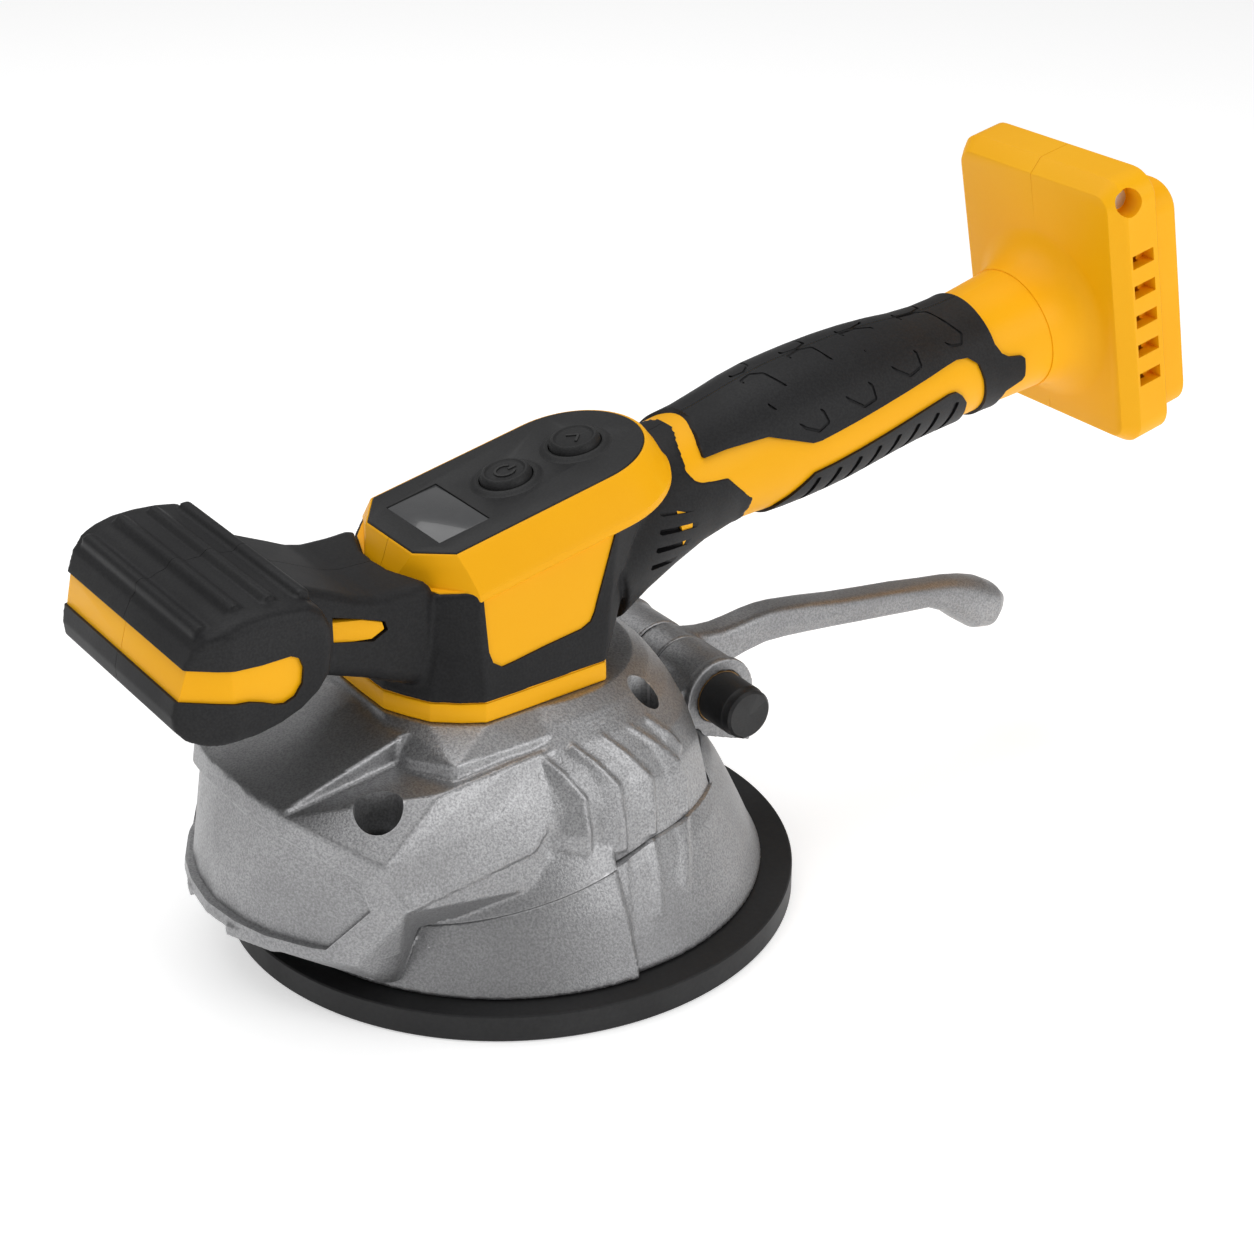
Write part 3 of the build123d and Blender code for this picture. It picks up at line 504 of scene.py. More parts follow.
def above_seam(lift, outer=130.0):
    """Everything above the joint between the two castings."""
    low = SEAM_LEVEL + lift
    kink = (SEAM_TOP - SEAM_LEVEL) / SEAM_SLOPE
    body = hull([(outer, -140, low - 140 * SEAM_SLOPE), (outer, kink, SEAM_TOP + lift),
                 (outer, -140, 140), (outer, kink, 140)], both=True)
    rear = hull([(outer, kink - 0.01, SEAM_TOP + lift), (outer, 120, SEAM_TOP + lift),
                 (outer, kink - 0.01, 140), (outer, 120, 140)], both=True)
    return combine(body, [rear], "UNION")


seam_cut = above_seam(-0.25)
combine(seam_cut, [turned([(54.4, -30), (54.4, 160)], 96)], "DIFFERENCE")
combine(seam_cut, [hull([(46, 43, 0), (46, 120, 0), (46, 43, 160), (46, 120, 160)], both=True)], "DIFFERENCE")
combine(bell, [seam_cut], "DIFFERENCE")
lever_room = drill(12.7, (-7.0, *PIVOT), (7.0, *PIVOT))
combine(bell, [lever_room], "DIFFERENCE")
finish(bell, "bell_casting", cast_alloy, nodes=["skirt"], smooth=60)


# ---- upper casting --------------------------------------------------------------------------------
# Shot-blasted aluminium hood screwed on the bell: a dome with ribs, a flat facet on each side,
# and a front visor whose raised frame runs round a sunk panel.
HOOD_DOME = [(63.4, 38), (62.6, 42), (60.6, 49), (58.5, 56.5), (54.2, 65), (48.8, 71.5), (43, 77), (38, 80.2)]
dome = turned([(1, 34), (64.2, 34)] + HOOD_DOME + [(1, 80.2)], 160)

WALL_CONE = [(r + FRONT_STEP * min(1, max(0, (52 - z) / 22)), z) for r, z in REAR_CONE]
front_wall = turned([(1, 9.1)] + WALL_CONE + [(1, 48)], 160)
combine(front_wall, [hull([(0, 2, 0), (120, -9.5, 0), (120, -120, 0), (0, 2, 60), (120, -9.5, 60), (120, -120, 60)],
                          both=True)], "INTERSECT")
FACET_OUT = Vector((0.92, -0.045, 0.389)).normalized()
FACET = [Vector(p) for p in ((53.5, -71.7, 50.8), (57.1, -69.1, 42.5), (57.0, -27.1, 47.6), (53.8, -14.9, 57.8),
                             (48.4, -23.4, 68.5), (51.3, -33.9, 60.3))]
long_facet = [FACET[k] + FACET_OUT * rise for k, rise in ((0, 0.8), (1, 1.0), (2, 1.6), (5, 1.6))]
short_facet = [FACET[k] + FACET_OUT * rise for k, rise in ((2, 1.6), (3, 0.8), (4, 0.6), (5, 1.6))]
facets = [hull([tuple(p) for p in face] + [tuple(p - FACET_OUT * 6) for p in face]) for face in
          (long_facet, short_facet)]
facets += [mirror_tool(facet) for facet in facets]
shoulder = hull([(53.5, -73.5, 57.1), (47.1, -51.7, 69.5), (47.6, -27.3, 71.8), (45.5, 8, 72.4), (30.1, -87.7, 64.7),
                 (27.1, -90.1, 65.5), (53.5, -71.7, 50.8), (57.1, -69.1, 42.5), (57.0, -27.1, 47.6),
                 (53.8, -14.9, 57.8), (48.4, -23.4, 68.5), (48, -60.8, 29.4), (54.5, -42, 33), (60.5, -25, 37),
                 (30, -60, 40), (38, 10, 50)], both=True)

plateau = hull([(13, -49.8, 80.2), (27.6, -42.6, 80.2), (37.2, -29.2, 80.2), (34.9, 13.2, 80.2), (28, 18, 80.2),
                (26, -51.6, 72.6), (29.9, -51.3, 72.4), (43.6, -44.0, 74.2), (44.6, -20, 74.6), (41.8, 12, 75.4),
                (33, 25, 75.4), (26, -53, 60), (45.5, -45, 60), (46, -20, 60), (43, 12, 60)], both=True)
crest = hull([(24.6, -46, 78.4), (26.6, -89.8, 66.8), (24, -46, 60), (24, -80, 56), (0, -92.3, 67.9),
              (0, -47, 80.2)], both=True)

TOP_EDGE = [(0, -93.2, 67.4), (14, -92.4, 67.0), (26.6, -90.4, 65.8), (30.1, -88.2, 64.6), (53.5, -73.7, 57.0)]
RIM = [(0, -103.5, 25), (13, -101.8, 25), (25, -98, 25), (37, -91, 25), (48, -81, 24.6)]
POST = [(54.0, -71.9, 50.8), (57.1, -69.3, 42.5), (47.4, -60.4, 28.4), (46.2, -66.8, 12.6), (45, -70.6, 12.8)]
visor = hull(TOP_EDGE + RIM + POST + [(0, -60, 60), (45, -58, 52), (45, -58, 30), (0, -60, 28)], both=True)
sunk_face = hull([(x, y + 2.5, z) for x, y, z in TOP_EDGE + RIM + POST] + [(30, -50, 66), (30, -50, 24)], both=True)
window = hull([(x, y, z) for y in (-140, -60) for x, z in
               ((0, 31.5), (30, 31), (41.5, 28.5), (51.0, 42.5), (48.6, 51.5), (28, 59.2), (0, 61.4))], both=True)
combine(window, [sunk_face], "DIFFERENCE")
HOOD_RIBS = (
    [(46.9, -17.4, 70.4), (51.5, -13.6, 66.0), (56.4, -9.4, 58.9), (60.6, -10.6, 49), (61.8, -11.9, 39.6)],
    [(47.6, -8.2, 71.8), (52.8, -3.0, 66.4), (56.8, 1.8, 59.6), (60.8, 1.0, 50), (62.8, 0.2, 41.4)],
    [(47.6, 1.8, 72.0), (52.4, 7.6, 66.0), (56.4, 13.8, 57.8), (60.0, 12.4, 49), (61.6, 11.2, 42.4)],
    [(46.4, 12.0, 71.4), (50.0, 19.2, 65.0), (52.2, 26.6, 57.2), (53.6, 28.4, 50.2), (56.6, 26.4, 42.2)],
    [(44.6, 20.0, 70.7), (47.6, 26.0, 65.0), (48.9, 30.0, 59.3)],
)
wedges = [wedge for line in HOOD_RIBS for wedge in rib_wedges(line, width=7.0, height=1.3)]
wedges += [mirror_tool(wedge) for wedge in wedges]

LUGS = ((11, 27), (-27, -13))
for low, high in LUGS:
    ends = [(x, -103.4 + 0.0115 * x * x, 25) for x in (low, high)]
    block = []
    for x, y, z in ends:
        block += [(x, y - 1.2, z + 1.5), (x, y + 4, z + 1.5), (x, y - 0.6, z - 2.2), (x, y + 4, z - 2.2)]
    wedges.append(hull(block))
hood = fuse([dome, front_wall, shoulder, plateau, crest, visor] + facets + wedges, 0.8, 1)
combine(hood, [window], "DIFFERENCE")

INSIDE = [(1, 26), (55.5, 26), (56, 42), (55.2, 49), (53.4, 56.5), (49.2, 63), (43, 67.4), (36, 71), (1, 71)]
hollow = turned(INSIDE, 96)
front_hollow = hull([(0, -88, 62), (13, -87.4, 61.6), (26, -84, 60), (47.5, -69.5, 50), (0, -99.4, 10),
                     (12, -97.6, 10), (24, -93.6, 10), (35, -87, 10), (43.4, -77, 10), (41.5, -60, 10),
                     (50.5, -65, 42), (42, -45, 34), (48, -40, 58), (30, -40, 62), (0, -40, 62), (0, -40, 10)],
                    both=True)
bell_room = turned([(1, 5)] + [(r + FRONT_STEP + 0.3, z) for r, z in REAR_CONE if z < 25] + [(1, 22)], 128)
for x, y in SCREWS:
    for side in (1, -1):
        for tool in (hollow, front_hollow):
            combine(tool, [drill(9.4, (side * x, y, 44 if y < 0 else 48.2), (side * x, y, 120))], "DIFFERENCE")
for tool in (hollow, front_hollow, bell_room):
    combine(hood, [tool], "DIFFERENCE")
below = above_seam(0.1)
room_front = hull([(0, -140, 5), (48, -140, 5), (46.4, -57.5, 5), (0, -57.5, 5), (0, -140, 100), (60, -140, 100),
                   (60, -57.5, 100), (0, -57.5, 100)], both=True)
combine(below, [room_front], "UNION")
combine(hood, [below], "INTERSECT")
wells = []
for x, y in SCREWS:
    well = drill(7.0 if y < 0 else 4.7, (x, y, 52 if y < 0 else 54), (x, y, 100))
    through = drill(2.75, (x, y, 20), (x, y, 60), 24)
    wells += [mirror_tool(well), well, mirror_tool(through), through]
wells.append(hull([(46, 42, 41), (46, 100, 41), (46, 42, 79), (46, 100, 79)], both=True))
for tool in wells:
    combine(hood, [tool], "DIFFERENCE")
finish(hood, "hood_casting", cast_alloy, nodes=["hood"], smooth=60)


# ---- pivot blocks ---------------------------------------------------------------------------------
# Two cast pillow blocks bolted on the bell, arched over the lever's shaft, with a web to the hood.
BLOCK_IN, BLOCK_OUT, BLOCK_R = 6.2, 27.0, 11.8
for side, sign in (("left", 1), ("right", -1)):
    block = drill(BLOCK_R, (BLOCK_IN, *PIVOT), (BLOCK_OUT, *PIVOT), 96)
    foot = hull([(x, y, z) for x in (BLOCK_IN, BLOCK_OUT) for y, z in
                 ((PIVOT[0] - 11.6, 57), (PIVOT[0] + 11.6, 57), (PIVOT[0] - 11.6, 47), (PIVOT[0] + 11.6, 38))])
    web = hull([(BLOCK_IN + 1, 43.4, 60), (BLOCK_OUT - 2, 43.4, 58), (BLOCK_IN + 1, 43.4, 49),
                (BLOCK_OUT - 2, 43.4, 49), (BLOCK_IN + 1, 58, 68), (BLOCK_OUT - 3, 58, 68),
                (BLOCK_IN + 1, 58, 49), (BLOCK_OUT - 3, 58, 49)])
    rim = drill(BLOCK_R + 0.7, (BLOCK_OUT - 2.6, *PIVOT), (BLOCK_OUT, *PIVOT), 96)
    combine(block, [foot, web, rim], "UNION")
    combine(block, [turned([(1, 5)] + [(r + 0.1, z) for r, z in REAR_CONE] + [(1, 48.2)], 128)], "DIFFERENCE")
    combine(block, [drill(8.52, (0, *PIVOT), (40, *PIVOT), 64)], "DIFFERENCE")
    if sign < 0:
        turn_over(block)
    cast(block, 0.6, 3)
    finish(block, f"pillow_block_{side}", cast_alloy, nodes=[f"pivot_block_{side}"], smooth=60)


# ---- suction lever --------------------------------------------------------------------------------
# Cast aluminium lever: a hub on the shaft, a nose under the hood that lifts the stud, and a curved
# arm with a rounded back that ends in a drooping ball. A shallow web bulge runs along each flank.
ARM_TOP = [(61, 68.4), (67.7, 67.4), (73, 66.2), (79, 65.6), (85, 66.0), (91.5, 66.8), (97, 67.1), (102, 66.8),
           (114, 65.0), (127, 62.6), (140, 60.7), (154, 58.8), (167, 57), (177, 55.5), (185, 53.6), (191, 51.6),
           (196.4, 48.6), (199.4, 45.0)]
ARM_UNDER = [(61, 46), (67, 47.4), (73, 49.6), (80, 52.5), (88, 54.4), (96, 55.6), (104, 55.2), (112, 54.4),
             (123, 53.2), (134.5, 51.8), (145, 50.6), (156, 49.3), (166, 47.8), (173, 44.4), (179, 39.6),
             (186, 34.6), (193, 33.2), (198.2, 37.4)]
ARM_HALF_W = [5.7, 5.7, 5.8, 5.8, 5.8, 5.8, 5.8, 5.8, 5.8, 5.8, 5.8, 5.9, 6.1, 6.8, 8.0, 8.8, 8.2, 5.4]
rings = []
for (top_y, top_z), (low_y, low_z), half in zip(ARM_TOP, ARM_UNDER, ARM_HALF_W):
    ring = []
    squareness = 0.55 if half < 6.0 else 0.8
    for step in range(28):
        turn = 2 * math.pi * step / 28
        c, s = math.cos(turn), math.sin(turn)
        across = math.copysign(abs(c) ** squareness, c) * half
        height = (math.copysign(abs(s) ** squareness, s) + 1) / 2
        ring.append(at(across, low_y + (top_y - low_y) * height, low_z + (top_z - low_z) * height))
    rings.append(ring)
arm = ring_stack(rings)
hub = drill(BLOCK_R - 0.3, (-5.8, *PIVOT), (5.8, *PIVOT), 96)
NOSE = (41.0, 57.0)
nose = drill(5, (-3, *NOSE), (3, *NOSE))
nose_web = hull([(3, 41, 52.4), (3, 41, 61.6), (3, 60, 50), (3, 60, 65)], both=True)
combine(arm, [hub, nose, nose_web], "UNION")
bulge = hull([(6.7, 98, 61), (6.7, 122, 58.4), (5.4, 90, 61), (5.4, 134, 57), (5.4, 96, 64), (5.4, 120, 61.4),
              (5.4, 98, 58), (5.4, 122, 55.4)], both=True)
combine(arm, [bulge], "UNION")
combine(arm, [drill(3, (-9, *NOSE), (9, *NOSE)), drill(6.52, (-20, *PIVOT), (20, *PIVOT), 64)], "DIFFERENCE")
cast(arm, 0.6, 4)
finish(arm, "suction_lever", cast_alloy, body="lever", nodes=["lever"], smooth=60)


# ---- shaft end caps -------------------------------------------------------------------------------
# Black moulded caps pressed over the shaft's ends, straight-sided with a chamfered end face.
cap_plastic = finish_material("cap_plastic", (0.010, 0.010, 0.011), (0.05, 0.05, 0.05), (0.007, 0.007, 0.007),
                              0.38, grain_scale=1200, grain_mix=0.2, edge_highlight=0.4, bump=0.2, specular=0.35)
CAP_BORE, CAP_R = 6.55, 8.3
CAP_FROM = 27.6                 # where the cap's mouth stands, across the tool
CAP_PROFILE = [(CAP_BORE, -1.2), (CAP_R, -1.2), (CAP_R, 10.6), (8.0, 11.0), (7.9, 13.4), (7.1, 14.2), (6.4, 14.2),
               (0.01, 14.1), (0.01, 2.4), (CAP_BORE, 2.4)]
for side, sign in (("left", 1), ("right", -1)):
    cap = turned(CAP_PROFILE, 96, lambda x, y, z: at(CAP_FROM + z, PIVOT[0] + x, PIVOT[1] + y))
    if sign < 0:
        turn_over(cap)
    finish(cap, f"shaft_cap_{side}", cap_plastic, body="lever", nodes=["shaft_caps"] if sign > 0 else [])


# ---- base band ------------------------------------------------------------------------------------
# Amber moulded ring between the casting and the tower, with its upper and lower edges rounded.
TILT = math.radians(11.5)
PANEL = Vector((0, -21.37, 129.82))
ALONG = Vector((0, math.cos(TILT), math.sin(TILT)))
ABOVE = Vector((0, -math.sin(TILT), math.cos(TILT)))


def leaning(x, u, v):
    """A place in the upper body's own frame: across, along, and above the panel."""
    return (PANEL + ALONG * u + ABOVE * v + Vector((x, 0, 0))) * MM


def mirrored(points):
    """A closed outline from its left half, front to rear."""
    return [tuple(p) for p in points] + [(-p[0], *p[1:]) for p in reversed(points) if p[0] > 0.01]


def halves(piece, name, material, nodes, body="root", smooth=35, seam=0.09):
    """Cuts a piece at the middle plane and finishes its left and right mouldings."""
    for side, sign in (("left", 1), ("right", -1)):
        only(piece)
        bpy.ops.object.duplicate()
        half = bpy.context.object
        bpy.ops.object.mode_set(mode="EDIT")
        bpy.ops.mesh.select_all(action="SELECT")
        bpy.ops.mesh.bisect(plane_co=(sign * seam * MM, 0, 0), plane_no=(sign, 0, 0), use_fill=True,
                            clear_inner=True)
        bpy.ops.object.mode_set(mode="OBJECT")
        tidy(half)
        finish(half, f"{name}_{side}", material, body, [f"{node}_{side}" for node in nodes], smooth)
    bpy.data.objects.remove(piece, do_unlink=True)


amber = finish_material("amber_plastic", (1.0, 0.47, 0.0), (1.0, 0.56, 0.02), (0.93, 0.41, 0.0), 0.42,
                        grain_scale=1500, grain_mix=0.12, edge_highlight=0.22, mottle_scale=18, swing=0.1, bump=0.18,
                        bump_distance=0.04, specular=0.22)
soft_black = finish_material("soft_black", (0.008, 0.008, 0.009), (0.035, 0.035, 0.036), (0.005, 0.005, 0.006),
                             0.48, grain_scale=1400, grain_mix=0.35, edge_highlight=0.3, mottle_scale=25, swing=0.14,
                             bump=0.4, bump_distance=0.05, specular=0.28)

FOOT = mirrored([(0, -49.4), (13, -49.2), (20.5, -45.9), (27.4, -42.2), (33, -35.4), (36.7, -29.2), (36.4, -20),
                 (34.6, 13.2), (28.2, 17.4), (0, 17.4)])
band = ring_stack([[at(x * s, y * s, z) for x, y in FOOT] for s, z in
                   ((0.985, 80.3), (1.0, 81.0), (1.0, 84.6), (0.99, 86.4))])
combine(band, [ring_stack([[at(x * 0.82, y * 0.82, z) for x, y in FOOT] for z in (70, 100)])], "DIFFERENCE")
soften(band, 0.6, 2, 20)
finish(band, "tower_base_band", amber, nodes=["base_band"])


# ---- tower, throat and front neck -----------------------------------------------------------------
# Amber tower shell in two halves under a soft black cover, which leaves a window bare on each side.
# The cover also wraps the neck of the palm grip and the throat of the handle.
HEAD = [(0, -23.2, -9), (7.7, -22.6, -9), (16, -19.7, -9), (24, -16.6, -9), (28.4, -12.6, -9), (32.4, -8.5, -9),
        (32.4, 6, -9), (32.4, 40, -9), (22, 62, -9), (0, 66, -9)]


def tower_solid(shrink):
    """The tapering tower, less a wall."""
    foot = [at(x - math.copysign(shrink, x) if abs(x) > 1 else 0, y - math.copysign(shrink, y), 86.5)
            for x, y in FOOT]
    head = [leaning(x - math.copysign(shrink, x) if abs(x) > 1 else 0, u + (shrink if u < 0 else -shrink), v)
            for x, u, v in mirrored(HEAD)]
    middle = []
    for low, high in zip(foot, head):
        place = low.lerp(high, 0.45)
        pull = 0.6 * MM
        middle.append(place - Vector((math.copysign(pull, place.x) if abs(place.x) > MM else 0,
                                      -1.2 * MM if place.y < -30 * MM else 0, 0)))
    return ring_stack([foot, middle, head])


HANDLE_LINE = ((40, -31, 30, 23), (52, -29, 27, 21.8), (65, -27.5, 24.5, 20.5), (78, -26.4, 21.6, 20),
               (90, -26, 20.2, 20.0),
               (100, -26.2, 21.0, 21.0), (109, -26.4, 22.0, 22.0), (118, -26.7, 22.6, 22.6), (127, -27.2, 22.7, 22.7),
               (135, -27.6, 22.6, 22.6), (145, -28.0, 22.1, 22.1), (155, -28.6, 21.4, 21.4), (165, -29.6, 20.6, 20.6),
               (174, -31, 19.9, 19.9), (184, -32.2, 19.5, 19.5), (193, -32.8, 19.5, 19.5), (203, -33.2, 20.2, 20.2),
               (217, -33.5, 21.0, 21.0))
HANDLE_POINTS = 64


def handle_rings(shrink, start=40, end=217):
    """Rings of the round handle between two places on its axis."""
    rings = []
    for u, v, half_w, half_h in HANDLE_LINE:
        if start <= u <= end:
            ring = []
            for step in range(HANDLE_POINTS):
                turn = 2 * math.pi * step / HANDLE_POINTS
                ring.append(leaning((half_w - shrink) * math.cos(turn), u, v + (half_h - shrink) * math.sin(turn)))
            rings.append(ring)
    return rings


def side_slab(outline, half_w=60.0, inner_w=0.0, place=leaning):
    """A side-view outline as a tool across the whole body, or only its two flanks."""
    slabs = []
    for low, high in (((-half_w, half_w),) if not inner_w else ((inner_w, half_w), (-half_w, -inner_w))):
        slabs.append(ring_stack([[place(x, a, b) for a, b in outline] for x in (low, high)]))
    return slabs


NECK = [(-36, 121.5), (-46, 121.0), (-54.6, 121.2), (-60, 122.6), (-65.4, 125.2), (-75.9, 130.0), (-87, 133.4),
        (-92, 133), (-92, 108), (-78, 104), (-60, 97.5), (-48, 92), (-36, 88)]
neck = ring_stack([[at(x, y, z) for y, z in NECK] for x in (-24, 24)])
soften(neck, 4.0, 3, 40)
BEHIND = [(81.5, 60), (81.3, -6), (77, -9.3), (74.2, -14.5), (75.2, -17.2), (77.6, -19.1), (82.4, -20.4),
          (86.6, -21.6), (90.1, -26.8), (94.7, -32.9), (93.2, -38.1), (90.5, -60), (90.5, -70), (260, -70), (260, 60)]
throat = ring_stack(handle_rings(0, 40, 118))
combine(throat, side_slab(BEHIND), "DIFFERENCE")
cover = tower_solid(0)
combine(cover, [neck, throat], "UNION")
window_line = [(-26.6, 119.5), (-26.2, 101.2), (-25.2, 97.6), (-22.3, 95.6), (5.6, 99.0), (8.8, 100.4), (10.4, 103),
               (18.4, 126), (20.0, 140), (-26.6, 140)]
tab_line = [(-69.5, 120.2), (-61, 117.4), (-53.2, 114.4), (-52.4, 111.6), (-57.1, 109.3), (-69.5, 112.4)]
bare = side_slab(window_line, 60, 24, at) + side_slab(tab_line, 60, 19, at)
core = tower_solid(2.2)
grip_room = hull([(0, -90, 90), (46, -90, 90), (0, -90, 150), (46, -90, 150), (0, -140, 90), (46, -140, 90),
                  (0, -140, 150), (46, -140, 150)], both=True)
lid = ring_stack([[leaning(x, u, v) for x, u, _ in mirrored(HEAD)] for v in (-9.4, 30)])
combine(cover, [lid], "DIFFERENCE")
combine(cover, [core], "DIFFERENCE")
cast(cover, 0.8, 2)
for tool in bare + [grip_room]:
    combine(cover, [tool], "DIFFERENCE")
grooves = []
SLOTS = (((59.5, -19.6), (74.6, -24.8)), ((57.0, -24.2), (73.6, -30.0)), ((54.0, -28.6), (70.0, -34.2)),
         ((51.0, -33.0), (62.0, -36.8)))
for (u1, v1), (u2, v2) in SLOTS:
    grooves += side_slab([(u1, v1 + 0.9), (u2, v2 + 0.9), (u2 + 0.8, v2), (u2, v2 - 0.9), (u1, v1 - 0.9),
                          (u1 - 0.8, v1)], 60, 22.9)
for groove in grooves:
    combine(cover, [groove], "DIFFERENCE")
halves(cover, "tower_cover_skin", soft_black, ["tower_cover"], smooth=60)

BEZEL = [
    # front half-width, front u, half-width, shoulder u, rear u, tail, height v
    (7.7, -22.6, 32.5, -8.5, 43.0, 30.0, -12.2), (7.7, -22.9, 32.9, -8.7, 43.0, 30.4, -11.6),
    (7.7, -22.9, 32.9, -8.7, 43.0, 30.4, -9.6), (8.0, -22.2, 32.1, -8.5, 43.0, 29.6, -8.6),
    (10.3, -19.4, 28.4, -8.3, 44.2, 27.2, -4.4), (12.9, -17.1, 24.6, -8.4, 45.0, 24.6, -0.5),
    (13.0, -16.6, 23.9, -8.3, 45.0, 23.9, 0.0),
]


def bezel_ring(front_w, front_u, half_w, shoulder_u, rear_u, tail, v):
    """One outline round the panel: a chamfered front and a round rear."""
    points = [(front_w, front_u), (half_w, shoulder_u), (half_w, rear_u)]
    for step in range(1, 16):
        turn = math.pi / 2 * step / 16
        points.append((half_w * math.cos(turn), rear_u + tail * math.sin(turn)))
    points.append((0, rear_u + tail))
    return [leaning(x, u, v) for x, u in mirrored(points)]


bezel = ring_stack([bezel_ring(*row) for row in BEZEL])
combine(bezel, [ring_stack([bezel_ring(12.8, -16.4, 23.45, -8.2, 45, 23.45, v) for v in (-2.4, 5)])], "DIFFERENCE")
combine(bezel, [ring_stack([bezel_ring(11, -14, 21, -7, 45, 21, v) for v in (-30, 5)])], "DIFFERENCE")
soften(bezel, 0.35, 2, 25)
shell = tower_solid(0.7)
inner_shell = tower_solid(3.0)
combine(shell, [inner_shell], "DIFFERENCE")
combine(shell, [bezel], "UNION")
halves(shell, "tower_body", amber, ["tower_shell"], smooth=30)


# ---- control panel --------------------------------------------------------------------------------
# Black satin fascia with a tinted display window and a moulded ring round each rubber button.
fascia_black = finish_material("fascia_black", (0.014, 0.014, 0.015), (0.05, 0.05, 0.05), (0.010, 0.010, 0.010),
                               0.42, grain_scale=1700, grain_mix=0.3, edge_highlight=0.25, bump=0.3, swing=0.1,
                               specular=0.3)
fascia = ring_stack([bezel_ring(12.7 - s, -16.3 + s, 23.3 - s, -8.1 + s / 2, 45, 23.3 - s, v)
                     for s, v in ((0, -2.3), (0, 0.1), (0.35, 0.4))])
DISPLAY_W, DISPLAY_L = 29.7, 17.2
BUTTONS = {"power_button": 24.0, "up_button": 48.5}


def lean_block(half_w, low_u, high_u, low_v, high_v, slope=0.0):
    """A box in the upper body's frame, its top drawn in by a slope."""
    corners = []
    for v, inset in ((low_v, 0.0), (high_v, slope)):
        for x in (half_w - inset, -half_w + inset):
            for u in (low_u + inset, high_u - inset):
                corners.append((x, u, v))
    return hull(corners, leaning)


def on_button(u):
    """A frame on the panel with its origin at a button's middle."""
    return lambda x, y, z: leaning(x, u + y, z)


holes = [lean_block(DISPLAY_W / 2, -DISPLAY_L / 2, DISPLAY_L / 2, -1.2, 3)]
for u in BUTTONS.values():
    holes.append(turned([(8.2, -5), (8.2, 3)], 64, on_button(u)))
combine(fascia, holes, "DIFFERENCE")
soften(fascia, 0.12, 2, 40)
finish(fascia, "fascia_plate", fascia_black, nodes=["control_panel"], smooth=30)

tinted_glass = finish_material("tinted_glass", (0.060, 0.061, 0.064), (0.10, 0.10, 0.10), (0.045, 0.046, 0.048), 0.16,
                               grain_scale=300, grain_mix=0.15, edge_highlight=0.0, mottle_scale=60, swing=0.06, bump=0.02)
tinted_glass.node_tree.nodes["Principled BSDF"].inputs["Coat Weight"].default_value = 0.5
lens = lean_block(DISPLAY_W / 2 - 0.15, -DISPLAY_L / 2 + 0.15, DISPLAY_L / 2 - 0.15, -1.15, 0.15)
soften(lens, 0.3, 3, 40)
finish(lens, "display_window", tinted_glass, nodes=["display_lens"])

key_rubber = finish_material("key_rubber", (0.012, 0.012, 0.013), (0.05, 0.05, 0.05), (0.008, 0.008, 0.008), 0.46,
                             grain_scale=1600, grain_mix=0.3, edge_highlight=0.45, bump=0.3, swing=0.12, specular=0.3)
collars = []
for u in BUTTONS.values():
    collars.append(turned([(8.15, 0.2), (8.15, 1.2), (8.9, 1.5), (9.4, 1.35), (10.2, 0.8), (10.9, 0.42),
                           (10.9, 0.2)], 96, on_button(u), closed=True))
finish(gather(collars), "button_surrounds", key_rubber, nodes=["button_collars"])


def ring_bar(points, half_w, u, low, high):
    """A raised stroke of a button's mark, along a line."""
    strokes = []
    for (x1, y1), (x2, y2) in zip(points, points[1:]):
        along = Vector((x2 - x1, y2 - y1)).normalized()
        side = Vector((-along.y, along.x)) * half_w
        strokes.append(hull([(x + sign * side.x, u + y + sign * side.y, v) for x, y in ((x1, y1), (x2, y2))
                             for sign in (1, -1) for v in (low, high)], leaning))
    return strokes


ring_line = [(3 * math.sin(math.radians(a)), 3 * math.cos(math.radians(a))) for a in range(35, 326, 29)]
MARKS = {"power_button": ([(0, 1.2), (0, 3.8)], ring_line),
         "up_button": ([(-2.6, -1.0), (0, 1.8), (2.6, -1.0)],)}
for node, u in BUTTONS.items():
    button = turned([(1, -4.6), (2, -4.6), (2, -2.2), (7.75, -2.2), (7.75, 1.9), (7.55, 2.3), (7.0, 3.2), (6.6, 3.45),
                     (6.1, 3.4), (5.6, 2.95), (5.3, 2.85), (1, 2.9)], 96, on_button(u))
    marks = [stroke for line in MARKS[node] for stroke in ring_bar(line, 0.38, u, 2.5, 3.25)]
    combine(button, marks, "UNION")
    finish(button, f"{node}_cap", key_rubber, body=node, nodes=[node], smooth=30)


# ---- front palm grip ------------------------------------------------------------------------------
# Cross bar for the leading hand: an amber core in two halves, bare as a band round the front,
# under a soft black cover with four ribs across its top.
GRIP_SIDE = [(-77.5, 121.5), (-77.9, 127), (-80.2, 132), (-84, 134.9), (-90, 136.0), (-97, 136.5), (-103.7, 136.2),
             (-109, 134.9), (-113.5, 132.8), (-117, 129.6), (-119.6, 124.6), (-121.6, 117.5), (-123.3, 110.7),
             (-122.9, 106.5), (-120.2, 103.2), (-116, 101.4), (-110, 100.8), (-102, 100.9), (-94.5, 102.4),
             (-88, 105), (-82.5, 109), (-79, 113.6)]


